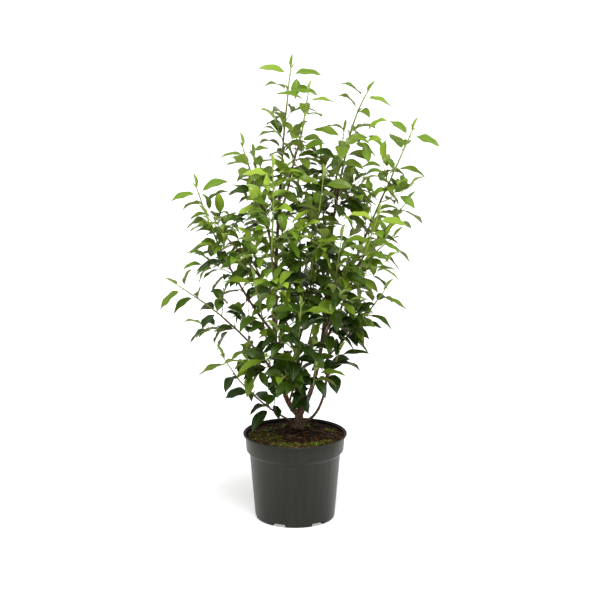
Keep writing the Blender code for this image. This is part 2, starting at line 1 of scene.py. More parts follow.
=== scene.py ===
# Potted Portuguese laurel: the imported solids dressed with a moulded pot, compost, bark, twigs and leaves.
import math
import random

import bmesh
import bpy
import numpy as np
from mathutils import Matrix, Vector, noise
from mathutils.bvhtree import BVHTree


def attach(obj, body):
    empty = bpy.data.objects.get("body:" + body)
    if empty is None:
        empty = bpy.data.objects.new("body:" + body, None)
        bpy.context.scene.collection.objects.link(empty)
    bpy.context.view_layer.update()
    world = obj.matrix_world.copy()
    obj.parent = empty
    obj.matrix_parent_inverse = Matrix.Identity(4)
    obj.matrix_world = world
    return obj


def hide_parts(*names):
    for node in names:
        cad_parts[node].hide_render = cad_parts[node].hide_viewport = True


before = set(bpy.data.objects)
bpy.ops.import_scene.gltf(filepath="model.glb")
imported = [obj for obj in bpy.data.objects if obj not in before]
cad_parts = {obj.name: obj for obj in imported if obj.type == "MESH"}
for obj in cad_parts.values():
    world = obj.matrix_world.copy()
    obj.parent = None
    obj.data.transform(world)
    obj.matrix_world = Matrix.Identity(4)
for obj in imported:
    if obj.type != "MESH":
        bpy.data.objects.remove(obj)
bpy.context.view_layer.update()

up = Vector((0.0, 0.0, 1.0))
nodeNames = sorted(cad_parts)


# Colours and materials

def hexColour(text):
    # sRGB hex to the linear colour that a shader wants
    parts = [int(text[i:i + 2], 16) / 255.0 for i in (1, 3, 5)]
    return (*[c / 12.92 if c <= 0.04045 else ((c + 0.055) / 1.055) ** 2.4 for c in parts], 1.0)


def addNode(material, kind, sockets=None, **settings):
    # One node, its settings, and its sockets: each a value, or another node's output to link
    node = material.node_tree.nodes.new(kind)
    for name, value in settings.items():
        setattr(node, name, value)
    for name, value in (sockets or {}).items():
        if isinstance(value, bpy.types.NodeSocket):
            material.node_tree.links.new(value, node.inputs[name])
        else:
            node.inputs[name].default_value = value
    return node


def newMaterial(name, **sockets):
    # A material with a Principled shader, whose plain values are set on its own sockets
    material = bpy.data.materials.new(name)
    material.use_nodes = True
    shader = material.node_tree.nodes["Principled BSDF"]
    for socket, value in sockets.items():
        shader.inputs[socket.replace("_", " ")].default_value = value
    return material, shader


def linkTo(material, output, shader, socket):
    material.node_tree.links.new(output, shader.inputs[socket])


def rampColours(node, stops):
    # Fills a colour ramp from (place, hex) pairs
    ramp = node.color_ramp
    while len(ramp.elements) < len(stops):
        ramp.elements.new(0.5)
    for element, (place, colour) in zip(ramp.elements, stops):
        element.position = place
        element.color = hexColour(colour)


def addBump(material, shader, height, strength, distance):
    bump = addNode(material, "ShaderNodeBump", {"Height": height, "Strength": strength, "Distance": distance})
    linkTo(material, bump.outputs["Normal"], shader, "Normal")


def makePotPlastic():
    # Injection-moulded polypropylene with recycled grey: satin, with faint upright flow bands
    material, shader = newMaterial("mouldedPolypropylene", IOR=1.49, Specular_IOR_Level=0.20)
    place = addNode(material, "ShaderNodeTexCoord")
    bands = addNode(material, "ShaderNodeMapping", {"Vector": place.outputs["Object"],
                                                   "Scale": (55.0, 55.0, 1.2)})  # bands about 18 mm wide
    flow = addNode(material, "ShaderNodeTexNoise", {"Vector": bands.outputs["Vector"], "Scale": 1.0,
                                                   "Detail": 3.0, "Roughness": 0.55})
    tint = addNode(material, "ShaderNodeValToRGB", {"Fac": flow.outputs["Fac"]})
    rampColours(tint, ((0.30, "#1f2018"), (0.70, "#26271e")))
    # Inside the mouth, above the compost, the wall is painted darker: painted shade where the rim shades it
    spot = addNode(material, "ShaderNodeSeparateXYZ", {"Vector": place.outputs["Object"]})
    flat = addNode(material, "ShaderNodeCombineXYZ", {"X": spot.outputs["X"], "Y": spot.outputs["Y"]})
    radius = addNode(material, "ShaderNodeVectorMath", {"Vector": flat.outputs["Vector"]}, operation="LENGTH")
    flare = addNode(material, "ShaderNodeMapRange", {"Value": spot.outputs["Z"], "From Min": 0.2305,
                                                    "From Max": 0.2350, "To Min": 0.1333, "To Max": 0.1380})
    inward = addNode(material, "ShaderNodeMath", {0: flare.outputs["Result"], 1: radius.outputs["Value"]},
                     operation="SUBTRACT")
    # painted shade: full within 0.8 mm inside the flare of the mouth
    mouthShade = addNode(material, "ShaderNodeMapRange", {"Value": inward.outputs[0], "From Min": 0.0,
                                                    "From Max": 0.0008})
    above = addNode(material, "ShaderNodeMapRange", {"Value": spot.outputs["Z"], "From Min": 0.2228,
                                                    "From Max": 0.2236})
    mouth = addNode(material, "ShaderNodeMath", {0: mouthShade.outputs["Result"], 1: above.outputs["Result"]},
                    operation="MULTIPLY")
    # The ledge under the collar is painted darker: painted shade that dims the highlight it catches
    above = addNode(material, "ShaderNodeMath", {0: spot.outputs["Z"], 1: 0.1825}, operation="SUBTRACT")
    away = addNode(material, "ShaderNodeMath", {0: above.outputs[0]}, operation="ABSOLUTE")
    ledgeShade = addNode(material, "ShaderNodeMapRange", {"Value": away.outputs[0], "From Min": 0.0030,
                                                   "From Max": 0.0080, "To Min": 0.50, "To Max": 0.0})
    paintedShade = addNode(material, "ShaderNodeMath", {0: mouth.outputs[0], 1: ledgeShade.outputs["Result"]},
                     operation="MAXIMUM")
    # Both masks mix the plastic towards one dark colour: painted shade inside the mouth and on the ledge
    blend = addNode(material, "ShaderNodeMix", {"Factor": paintedShade.outputs[0]}, data_type="RGBA")
    material.node_tree.links.new(tint.outputs["Color"], blend.inputs[6])
    blend.inputs[7].default_value = hexColour("#1b1511")
    linkTo(material, blend.outputs[2], shader, "Base Color")
    scuff = addNode(material, "ShaderNodeTexNoise", {"Vector": place.outputs["Object"], "Scale": 90.0,
                                                    "Detail": 5.0, "Roughness": 0.6})
    gloss = addNode(material, "ShaderNodeMapRange", {"Value": scuff.outputs["Fac"], "To Min": 0.32,
                                                    "To Max": 0.42})
    linkTo(material, gloss.outputs["Result"], shader, "Roughness")
    grain = addNode(material, "ShaderNodeTexNoise", {"Vector": place.outputs["Object"], "Scale": 1400.0,
                                                    "Detail": 2.0})  # moulding grain of about 0.7 mm
    addBump(material, shader, grain.outputs["Fac"], 0.04, 0.0002)
    return material


def makeCompost():
    # Moist peat compost: almost black, with rusty fibres and a purple-brown cast
    material, shader = newMaterial("peatCompost", IOR=1.40, Specular_IOR_Level=0.25)
    place = addNode(material, "ShaderNodeTexCoord")
    clods = addNode(material, "ShaderNodeTexNoise", {"Vector": place.outputs["Object"], "Scale": 160.0,
                                                    "Detail": 8.0, "Roughness": 0.70})
    tint = addNode(material, "ShaderNodeValToRGB", {"Fac": clods.outputs["Fac"]})
    rampColours(tint, ((0.30, "#120b07"), (0.50, "#2f1d12"), (0.62, "#50321a"), (0.78, "#7c4f2c")))
    linkTo(material, tint.outputs["Color"], shader, "Base Color")
    damp = addNode(material, "ShaderNodeMapRange", {"Value": clods.outputs["Fac"], "To Min": 0.62,
                                                   "To Max": 0.95})
    linkTo(material, damp.outputs["Result"], shader, "Roughness")
    grit = addNode(material, "ShaderNodeTexVoronoi", {"Vector": place.outputs["Object"], "Scale": 420.0})
    addBump(material, shader, grit.outputs["Distance"], 0.6, 0.0015)
    return material


def makeBark():
    # Thin living bark: grey-brown and furrowed at the trunk, red-brown above, with pale pores across it
    material, shader = newMaterial("laurelBark", IOR=1.45)
    place = addNode(material, "ShaderNodeTexCoord")
    height = addNode(material, "ShaderNodeSeparateXYZ", {"Vector": place.outputs["Object"]})
    aged = addNode(material, "ShaderNodeMapRange", {"Value": height.outputs["Z"], "From Min": 0.250,
                                                   "From Max": 0.320})
    old = addNode(material, "ShaderNodeTexNoise", {"Vector": place.outputs["Object"], "Scale": 220.0,
                                                  "Detail": 6.0, "Roughness": 0.65})
    oldTint = addNode(material, "ShaderNodeValToRGB", {"Fac": old.outputs["Fac"]})
    rampColours(oldTint, ((0.32, "#33261c"), (0.52, "#5f4a35"), (0.72, "#8b7458")))
    young = addNode(material, "ShaderNodeTexNoise", {"Vector": place.outputs["Object"], "Scale": 120.0,
                                                    "Detail": 5.0, "Roughness": 0.6})
    youngTint = addNode(material, "ShaderNodeValToRGB", {"Fac": young.outputs["Fac"]})
    rampColours(youngTint, ((0.30, "#35180f"), (0.52, "#582e1d"), (0.74, "#85573b")))
    blend = addNode(material, "ShaderNodeMix", {"Factor": aged.outputs["Result"]}, data_type="RGBA")
    material.node_tree.links.new(oldTint.outputs["Color"], blend.inputs[6])
    material.node_tree.links.new(youngTint.outputs["Color"], blend.inputs[7])
    high = addNode(material, "ShaderNodeMapRange", {"Value": height.outputs["Z"], "From Min": 0.50,
                                                   "From Max": 0.85, "To Max": 0.75})
    green = addNode(material, "ShaderNodeMix", {"Factor": high.outputs["Result"]}, data_type="RGBA")
    material.node_tree.links.new(blend.outputs[2], green.inputs[6])
    green.inputs[7].default_value = hexColour("#6c5a34")
    path = addNode(material, "ShaderNodeUVMap", uv_map="UVMap")
    pores = addNode(material, "ShaderNodeMapping", {"Vector": path.outputs["UV"],
                                                   "Scale": (5.0, 260.0, 1.0)})  # pores 1 mm tall, 4 mm apart
    cells = addNode(material, "ShaderNodeTexVoronoi", {"Vector": pores.outputs["Vector"], "Scale": 1.0})
    mark = addNode(material, "ShaderNodeMapRange", {"Value": cells.outputs["Distance"], "From Min": 0.10,
                                                   "From Max": 0.24, "To Min": 0.55, "To Max": 0.0})
    marked = addNode(material, "ShaderNodeMix", {"Factor": mark.outputs["Result"]}, data_type="RGBA")
    material.node_tree.links.new(green.outputs[2], marked.inputs[6])
    marked.inputs[7].default_value = hexColour("#9a7f63")
    linkTo(material, marked.outputs[2], shader, "Base Color")
    dry = addNode(material, "ShaderNodeMapRange", {"Value": old.outputs["Fac"], "To Min": 0.55,
                                                  "To Max": 0.80})
    linkTo(material, dry.outputs["Result"], shader, "Roughness")
    addBump(material, shader, old.outputs["Fac"], 0.5, 0.0008)
    return material


def makeTwigSkin(name, colour, sheen=0.30):
    # Smooth skin of this year's and last year's shoots: waxy, with a fine bump
    material, shader = newMaterial(name, Base_Color=hexColour(colour), IOR=1.45, Specular_IOR_Level=sheen)
    place = addNode(material, "ShaderNodeTexCoord")
    wax = addNode(material, "ShaderNodeTexNoise", {"Vector": place.outputs["Object"], "Scale": 350.0,
                                                  "Detail": 3.0})
    gloss = addNode(material, "ShaderNodeMapRange", {"Value": wax.outputs["Fac"], "To Min": 0.38,
                                                    "To Max": 0.62})
    linkTo(material, gloss.outputs["Result"], shader, "Roughness")
    addBump(material, shader, wax.outputs["Fac"], 0.3, 0.0003)
    return material


def makeLeafSkin(name, colour, rough, veined, sheen=0.20):
    # Leaf cuticle: waxy and glossy above, duller and paler below. The side veins are a slight relief.
    material, shader = newMaterial(name, Base_Color=hexColour(colour), IOR=1.46, Specular_IOR_Level=sheen)
    place = addNode(material, "ShaderNodeTexCoord")
    wax = addNode(material, "ShaderNodeTexNoise", {"Vector": place.outputs["Object"], "Scale": 180.0,
                                                  "Detail": 4.0, "Roughness": 0.55})
    gloss = addNode(material, "ShaderNodeMapRange", {"Value": wax.outputs["Fac"], "To Min": rough - 0.08,
                                                    "To Max": rough + 0.10})
    linkTo(material, gloss.outputs["Result"], shader, "Roughness")
    if not veined:
        addBump(material, shader, wax.outputs["Fac"], 0.2, 0.0004)
        return material
    path = addNode(material, "ShaderNodeUVMap", uv_map="UVMap")
    parts = addNode(material, "ShaderNodeSeparateXYZ", {"Vector": path.outputs["UV"]})
    across = addNode(material, "ShaderNodeMath", {0: parts.outputs["X"], 1: 0.5}, operation="SUBTRACT")
    outward = addNode(material, "ShaderNodeMath", {0: across.outputs[0]}, operation="ABSOLUTE")
    slant = addNode(material, "ShaderNodeMath", {0: outward.outputs[0], 1: -0.5, 2: parts.outputs["Y"]},
                    operation="MULTIPLY_ADD")
    steps = addNode(material, "ShaderNodeMath", {0: slant.outputs[0], 1: 58.0}, operation="MULTIPLY")
    veins = addNode(material, "ShaderNodeMath", {0: steps.outputs[0]}, operation="SINE")
    height = addNode(material, "ShaderNodeMath", {0: veins.outputs[0], 1: 0.35, 2: wax.outputs["Fac"]},
                     operation="MULTIPLY_ADD")
    addBump(material, shader, height.outputs[0], 0.35, 0.0005)
    return material


# Meshes

def finishPiece(name, mesh, materials, smoothAngle=None):
    # Links a finished mesh and ties it to the one body
    if smoothAngle is not None:
        mesh.shade_smooth()
        mesh.set_sharp_from_angle(angle=math.radians(smoothAngle))
    piece = bpy.data.objects.new(name, mesh)
    bpy.context.scene.collection.objects.link(piece)
    for material in materials:
        mesh.materials.append(material)
    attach(piece, "root")
    mesh.calc_loop_triangles()
    print(name, len(mesh.loop_triangles), "triangles")
    return piece


def meshOf(bm, name):
    mesh = bpy.data.meshes.new(name)
    bm.to_mesh(mesh)
    bm.free()
    return mesh


def headingsOf(points):
    last = len(points) - 1
    return [(points[min(i + 1, last)] - points[max(i - 1, 0)]).normalized() for i in range(last + 1)]


def wrapTube(bm, points, radii, sides, relief=None, slotOf=None):
    # Bends a grid round a path. The last point closes it, and relief(angle, distance) swells the skin.
    rows = len(points) - 1
    made = bmesh.ops.create_grid(bm, x_segments=sides, y_segments=rows, size=0.5)["verts"]
    headings = headingsOf(points)
    turns = [headings[0].to_track_quat("Z", "Y")]
    distances = [0.0]
    for i in range(1, rows + 1):
        turns.append(headings[i - 1].rotation_difference(headings[i]) @ turns[-1])
        distances.append(distances[-1] + (points[i] - points[i - 1]).length)
    uv = bm.loops.layers.uv.verify()
    faces = {face for vert in made for face in vert.link_faces}
    for face in faces:
        row = min(round((loop.vert.co.y + 0.5) * rows) for loop in face.loops)
        face.material_index = slotOf(row / rows) if slotOf else 0
        for loop in face.loops:
            at = loop.vert.co
            loop[uv].uv = (at.x + 0.5, distances[round((at.y + 0.5) * rows)])
    for vert in made:
        row = round((vert.co.y + 0.5) * rows)
        angle = 2.0 * math.pi * (vert.co.x + 0.5)
        radius = radii[row] * (1.0 + (relief(angle, distances[row]) if relief else 0.0))
        vert.co = points[row] + turns[row] @ Vector((math.cos(angle) * radius, math.sin(angle) * radius, 0.0))
    ends = [v for v in made if (v.co - points[-1]).length < radii[-1] * 1.5 or
            (v.co - points[0]).length < radii[0] * 1.5]
    bmesh.ops.remove_doubles(bm, verts=made, dist=1e-6)
    return ends


# The growth rule, the same as the solids'

growth = {
    "seed": 41,
    "turn": math.radians(137.5),      # golden angle from one growth to the next
    "wobble": 0.010,                  # sideways waver, as a share of a limb's length
    "waves": 1.5,
    "tipRadius": 0.0013,
    "twigSpacing": 0.050,
    "twigLength": 0.110,
    "twigShortening": 0.55,           # share of it lost towards the stem's tip
    "twigRise": 0.5,
    "twigSplay": math.radians(52),
    "twigTurns": (0.0, 0.7, -0.7, 1.4, -1.4),
    "twigTrims": (1.0, 0.7),
    "sizes": (0.86, 1.10),
    "leafSplay": math.radians(58),
    "leafLift": 0.22,                 # leaves turn up to the light as they set off
    "leafTurns": (0.0, 0.8, -0.8, 1.6, -1.6),
    "skyward": 0.8,                   # leaves face partly up, and partly along their twig
    "tipward": 0.4,
}

trunk = {"foot": Vector((0.010, 0.045, 0.2383)), "top": Vector((0.012, 0.045, 0.281)), "radius": 0.0122,
         "topRadius": 0.0098, "flare": 0.0032, "flareHeight": 0.009, "sunk": 0.004}

# Name, parent, place on the parent, tip, rise, foot radius, tip radius, share without leaves, how young
# and bright its leaves are, and how full it is
limbTable = (
    ("left_stem", "trunk", 0.80, (-0.0565, 0.020, 0.560), -0.75, 0.0072, 0.0056, 1.0, 0.0, 1.00),
    ("right_stem", "trunk", 0.75, (0.081, 0.035, 0.550), -0.45, 0.0068, 0.0052, 1.0, 0.0, 1.00),
    ("thin_stem", "trunk", 0.30, (0.0885, 0.020, 0.450), -0.95, 0.0042, 0.0032, 1.0, 0.0, 1.00),
    ("leader", "left_stem", 0.98, (-0.0105, 0.020, 1.215), 0.30, 0.0054, 0.0013, 0.40, 0.60, 0.80),
    ("crown_front", "leader", 0.34, (0.034, -0.055, 1.155), -0.20, 0.0032, 0.0013, 0.30, 0.70, 0.80),
    ("left_shoulder", "leader", 0.18, (-0.135, -0.020, 1.010), 0.10, 0.0034, 0.0013, 0.32, 0.50, 0.85),
    ("bright_front", "left_stem", 0.75, (-0.057, -0.130, 0.975), -0.30, 0.0038, 0.0013, 0.28, 0.95, 1.00),
    ("high_left", "left_stem", 0.88, (-0.260, 0.030, 0.900), -0.25, 0.0038, 0.0013, 0.32, 0.6, 1.05),
    ("mid_left", "leader", 0.06, (-0.225, -0.050, 0.830), 0.10, 0.0034, 0.0013, 0.30, 0.3, 0.60),
    ("arching_left", "left_stem", 0.50, (-0.310, -0.050, 0.653), 0.22, 0.0036, 0.0013, 0.34, 0.25, 0.85),
    ("low_rosette", "arching_left", 0.12, (-0.073, -0.140, 0.479), 0.00, 0.0026, 0.0013, 0.16, 0.38, 1.30),
    ("low_left", "trunk", 0.12, (-0.188, -0.050, 0.455), -0.28, 0.0030, 0.0013, 0.24, 0.12, 0.45),
    ("left_front", "left_stem", 0.64, (-0.105, -0.150, 0.690), -0.20, 0.0034, 0.0013, 0.32, 0.20, 0.55),
    ("high_right", "right_stem", 0.98, (0.190, 0.000, 1.155), 0.55, 0.0050, 0.0013, 0.30, 0.72, 0.90),
    ("crown_right", "high_right", 0.22, (0.125, -0.090, 1.062), 0.10, 0.0034, 0.0013, 0.28, 0.38, 1.30),
    ("far_right", "right_stem", 0.90, (0.308, 0.030, 1.052), 0.00, 0.0044, 0.0013, 0.34, 0.75, 0.95),
    ("right_back", "far_right", 0.26, (0.297, 0.120, 0.840), 0.00, 0.0030, 0.0013, 0.30, 0.30, 0.80),
    ("right_front", "right_stem", 0.75, (0.213, -0.120, 0.852), -0.10, 0.0036, 0.0013, 0.32, 0.90, 0.85),
    ("middle_right", "right_stem", 0.45, (0.120, -0.160, 0.803), -0.20, 0.0036, 0.0013, 0.35, 0.26, 1.30),
    ("thin_right", "thin_stem", 0.98, (0.236, -0.020, 0.632), -0.10, 0.0030, 0.0013, 0.16, 0.34, 1.35),
    ("low_right", "thin_stem", 0.78, (0.118, -0.060, 0.475), 0.00, 0.0026, 0.0013, 0.14, 0.1, 1.70),
    ("centre_front", "left_stem", 0.42, (0.072, -0.110, 0.945), -0.30, 0.0038, 0.0013, 0.38, 0.32, 1.25),
    ("low_front", "left_stem", 0.25, (0.015, -0.200, 0.630), -0.20, 0.0032, 0.0013, 0.18, 0.18, 1.20),
    ("foot_front", "right_stem", 0.20, (0.054, -0.125, 0.442), -0.20, 0.0028, 0.0013, 0.20, 0.1, 1.40),
    ("back_middle", "trunk", 0.60, (0.010, 0.230, 0.880), -0.20, 0.0062, 0.0013, 0.46, 0.20, 1.05),
    ("back_low", "back_middle", 0.22, (0.065, 0.215, 0.530), 0.0, 0.0032, 0.0013, 0.32, 0.2, 0.80),
    ("back_left", "back_middle", 0.34, (-0.160, 0.190, 0.735), 0.10, 0.0036, 0.0013, 0.34, 0.3, 0.65),
    ("back_right", "back_middle", 0.42, (0.268, 0.175, 0.735), 0.10, 0.0036, 0.0013, 0.34, 0.3, 0.80),
    ("back_high_left", "leader", 0.12, (-0.110, 0.150, 0.960), 0.10, 0.0034, 0.0013, 0.34, 0.35, 0.85),
    ("back_high_right", "high_right", 0.12, (0.070, 0.150, 0.970), 0.10, 0.0034, 0.0013, 0.34, 0.35, 1.05),
)


def limbPoint(route, share):
    start, control, tip, waver, phase = route
    rest = 1.0 - share
    point = start * (rest * rest) + control * (2.0 * share * rest) + tip * (share * share)
    swing = math.sin(2.0 * math.pi * growth["waves"] * share + phase)
    return point + waver * (math.sin(math.pi * share) * swing)


def limbRoutes():
    routes = {"trunk": (trunk["foot"], (trunk["foot"] + trunk["top"]) / 2.0, trunk["top"], Vector(), 0.0)}
    for number, (name, parent, at, tip, rise, *rest) in enumerate(limbTable):
        start = limbPoint(routes[parent], at)
        span = Vector(tip) - start
        out = (1.0 - rise) / 2.0
        climb = (1.0 + rise) / 2.0
        control = start + Vector((span.x * out, span.y * out, span.z * climb))
        waver = span.cross(up).normalized() * (growth["wobble"] * span.length)
        routes[name] = (start, control, Vector(tip), waver, number * growth["turn"])
    return routes


def limbStretch(route, footRadius, tipRadius, begin, end, step):
    count = max(2, round((route[2] - route[0]).length * (end - begin) / step))
    shares = [begin + (end - begin) * i / count for i in range(count + 1)]
    return [limbPoint(route, s) for s in shares], [footRadius + (tipRadius - footRadius) * s for s in shares]


def swept(start, heading, length, pull, steps):
    # Points of a growth that sets off along heading and is drawn ever more towards pull
    points = [start.copy()]
    for i in range(steps):
        direction = (heading + pull * ((i + 0.5) / steps)).normalized()
        points.append(points[-1] + direction * (length / steps))
    return points


def around(direction, angle, splay):
    # A heading that leaves direction by splay, turned round it by angle
    out = Vector((math.sin(splay) * math.cos(angle), math.sin(splay) * math.sin(angle), math.cos(splay)))
    return direction.to_track_quat("Z", "Y") @ out


def placeOn(points, share):
    lengths = [(b - a).length for a, b in zip(points, points[1:])]
    target = share * sum(lengths)
    for a, b, length in zip(points, points[1:], lengths):
        if target <= length:
            return a.lerp(b, target / length), (b - a).normalized()
        target -= length
    return points[-1].copy(), (points[-1] - points[-2]).normalized()


def lengthOf(points):
    return sum((b - a).length for a, b in zip(points, points[1:]))


# What already stands in the crown, so that a growth that would touch it is skipped

taken = {"trees": [], "centres": np.zeros((6000, 3)), "radii": np.zeros(6000), "gap": 0.0006}


def solidOf(points, faces):
    return BVHTree.FromPolygons([tuple(p) for p in points], faces)


def tubeTree(points, radius):
    # A three-sided tube of a twig or limb, for the test only
    bm = bmesh.new()
    wrapTube(bm, points, [radius] * len(points), 3)
    tree = BVHTree.FromBMesh(bm)
    bm.free()
    return tree


def take(tree, points):
    number = len(taken["trees"])
    corners = np.array([tuple(p) for p in points])
    centre = (corners.min(0) + corners.max(0)) / 2.0
    taken["centres"][number] = centre
    taken["radii"][number] = np.linalg.norm(corners - centre, axis=1).max()
    taken["trees"].append(tree)
    return number


def isFree(tree, points, owners):
    corners = np.array([tuple(p) for p in points])
    centre = (corners.min(0) + corners.max(0)) / 2.0
    radius = np.linalg.norm(corners - centre, axis=1).max()
    count = len(taken["trees"])
    away = np.linalg.norm(taken["centres"][:count] - centre, axis=1)
    near = np.nonzero(away < taken["radii"][:count] + radius)[0]
    return not any(tree.overlap(taken["trees"][i]) for i in near if i not in owners)


# Trunk, stems and boughs with the bark's relief

barkRelief = {
    "sides": 16, "step": 0.003,
    "ridge": 0.110,              # furrows of the trunk, as a share of its radius
    "node": 0.16, "nodeSpacing": 0.028, "nodeWidth": 0.0022,   # swollen rings where leaves once stood
    "pore": 0.035,
    "collar": 0.55, "collarLength": 1.6,   # widening at a limb's foot, in foot radii
}


def buildLimbs(routes, bark):
    bm = bmesh.new()
    trunkPoints, trunkRadii = [], []
    foot, top = trunk["foot"], trunk["top"]
    steps = 34
    for i in range(steps + 1):
        share = i / steps
        point = foot.lerp(top, share)
        rise = point.z - foot.z
        radius = trunk["radius"] + (trunk["topRadius"] - trunk["radius"]) * share ** 3
        radius += trunk["flare"] * math.exp(-rise / trunk["flareHeight"])
        trunkPoints.append(point)
        trunkRadii.append(radius)
    trunkPoints.insert(0, foot - Vector((0.0, 0.0, trunk["sunk"])))
    trunkRadii.insert(0, trunkRadii[0] * 1.08)
    for lift, share in ((0.0022, 0.86), (0.0038, 0.55), (0.0044, 0.0)):
        trunkPoints.append(top + Vector((0.0, 0.0, lift)))
        trunkRadii.append(trunk["topRadius"] * share)

    def furrows(angle, distance):
        lobes = 0.16 * math.exp(-distance / 0.010) * math.cos(3.0 * angle)
        place = Vector((math.cos(angle) * 3.4, math.sin(angle) * 3.4, distance * 42.0))
        return lobes + barkRelief["ridge"] * noise.noise(place) + 0.05 * noise.noise(place * 2.7)

    wrapTube(bm, trunkPoints, trunkRadii, 28, furrows)
    for number, (name, parent, at, tip, rise, footRadius, tipRadius, bare, *look) in enumerate(limbTable):
        end = 0.985 if bare == 1.0 else bare + 0.02      # a leafy stem carries on inside the end
        points, radii = limbStretch(routes[name], footRadius, tipRadius, 0.0, end, barkRelief["step"])
        total = lengthOf(points)
        collar = barkRelief["collarLength"] * footRadius
        walked = 0.0
        for i in range(len(points)):
            radii[i] *= 1.0 + barkRelief["collar"] * math.exp(-walked / collar)
            if i + 1 < len(points):
                walked += (points[i + 1] - points[i]).length

        def skin(angle, distance):
            ring = math.fmod(distance, barkRelief["nodeSpacing"]) - barkRelief["nodeSpacing"] / 2.0
            side = math.cos(angle - growth["turn"] * math.floor(distance / barkRelief["nodeSpacing"]))
            swell = barkRelief["node"] * math.exp(-(ring / barkRelief["nodeWidth"]) ** 2) * max(0.25, side)
            place = Vector((math.cos(angle) * 1.7, math.sin(angle) * 1.7, distance * 240.0 + number * 9.0))
            return swell + barkRelief["pore"] * noise.noise(place)

        if bare == 1.0:      # a stem that other limbs carry on from ends in a low dome
            last, heading = points[-1], (points[-1] - points[-2]).normalized()
            for lift, share in ((0.35, 0.80), (0.55, 0.45), (0.60, 0.0)):
                points.append(last + heading * (tipRadius * lift))
                radii.append(tipRadius * share)
        wrapTube(bm, points, radii, barkRelief["sides"], skin)
    mesh = meshOf(bm, "trunk_and_boughs")
    piece = finishPiece("trunk_and_boughs", mesh, [bark], 70)
    stood = [n for n in nodeNames if n == "trunk" or n.endswith("_stem") or n.endswith("_bough")]
    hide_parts(*stood)
    return piece


# Shoots: the leafy stems, their twigs, and finer spurs on those

shootSizes = {
    "stemStep": 0.010, "stemSides": 7,
    "twigRadius": 0.00125, "twigEnd": 0.0007, "twigSteps": 9, "twigSides": 6,
    "twigFree": 0.125,                # the end of a stem without twigs, only leaves
    "spurLength": (0.026, 0.046), "spurRadius": 0.0009, "spurSteps": 5,
    "spurPlaces": (0.34, 0.62), "spurSplay": math.radians(48),
    "stemLeafSpacing": 0.028, "twigLeafSpacing": 0.0180, "spurLeafSpacing": 0.0150,
    "slimming": 0.22, "crook": 0.0011, "crookScale": 30.0,     # of a stem's skin, against its limb
    "stout": 0.0017, "brighter": 0.0006, "lower": 0.0008,      # least radius of a stem's skin, with what adds to it
}


def growShoots(routes):
    shoots = []
    for name, parent, at, tip, rise, footRadius, tipRadius, bare, *look in limbTable:
        points, radii = limbStretch(routes[name], footRadius, tipRadius, 0.0, bare, 0.02)
        tree = tubeTree(points, max(radii) + taken["gap"])
        take(tree, points)
    take(tubeTree([trunk["foot"], trunk["top"]], trunk["radius"] + 0.001), [trunk["foot"], trunk["top"]])
    leafy = [(at, row) for at, row in enumerate(limbTable) if row[7] < 1.0]
    for number, (bough, row) in enumerate(leafy):
        name, footRadius, tipRadius, bare, bright, full = row[0], *row[5:]
        points, radii = limbStretch(routes[name], footRadius, tipRadius, bare, 1.0, shootSizes["stemStep"])
        owner = take(tubeTree(points[::3] + [points[-1]], radii[0]), points)
        shoots.append({"points": points, "radii": radii, "kind": "stem", "bright": bright,
                       "full": full, "owners": {owner, bough}, "number": number, "name": name})
    for stem in list(shoots):
        rng = random.Random(growth["seed"] + stem["number"])
        startAngle = rng.uniform(0.0, 2.0 * math.pi)
        count = int(lengthOf(stem["points"]) / growth["twigSpacing"])
        for i in range(count):
            share = (i + 1.0 / 3.0) / (count + 1.0 / 3.0)
            base, heading = placeOn(stem["points"], share)
            full = growth["twigLength"] * (1.0 - growth["twigShortening"] * share) * rng.uniform(*growth["sizes"])
            toTip = (1.0 - share) * lengthOf(stem["points"])
            if toTip < shootSizes["twigFree"] or rng.random() > stem["full"]:
                continue
            angle = startAngle + i * growth["turn"]
            for trim in growth["twigTrims"]:
                twig = trySprig(base, heading, angle, full * trim, growth["twigSplay"], growth["twigRise"],
                                shootSizes["twigSteps"], stem, "twig", share)
                if twig:
                    shoots.append(twig)
                    break
    for twig in [s for s in shoots if s["kind"] == "twig"]:
        rng = random.Random(growth["seed"] * 7 + twig["number"] * 31 + int(twig["share"] * 100))
        for i, place in enumerate(shootSizes["spurPlaces"]):
            if lengthOf(twig["points"]) < 0.060 or twig["full"] < 0.82 + 0.15 * i:
                continue
            base, heading = placeOn(twig["points"], place)
            length = rng.uniform(*shootSizes["spurLength"])
            spur = trySprig(base, heading, rng.uniform(0.0, 6.28), length, shootSizes["spurSplay"], 0.4,
                            shootSizes["spurSteps"], twig, "spur", twig["share"])
            if spur:
                shoots.append(spur)
    print("shoots:", {kind: sum(s["kind"] == kind for s in shoots) for kind in ("stem", "twig", "spur")})
    return shoots


def trySprig(base, heading, angle, length, splay, rise, steps, parent, kind, share):
    radius = shootSizes["twigRadius"] if kind == "twig" else shootSizes["spurRadius"]
    for turn in growth["twigTurns"]:
        setOff = around(heading, angle + turn, splay)
        points = swept(base, setOff, length, up * rise, steps)
        tree = tubeTree(points[1:], radius)
        if isFree(tree, points, parent["owners"]):
            owner = take(tree, points)
            radii = [radius + (shootSizes["twigEnd"] - radius) * i / steps for i in range(steps + 1)]
            return {"points": points, "radii": radii, "kind": kind, "bright": parent["bright"], "full": parent["full"],
                    "owners": {owner}, "number": parent["number"], "share": share, "name": parent["name"]}
    return None


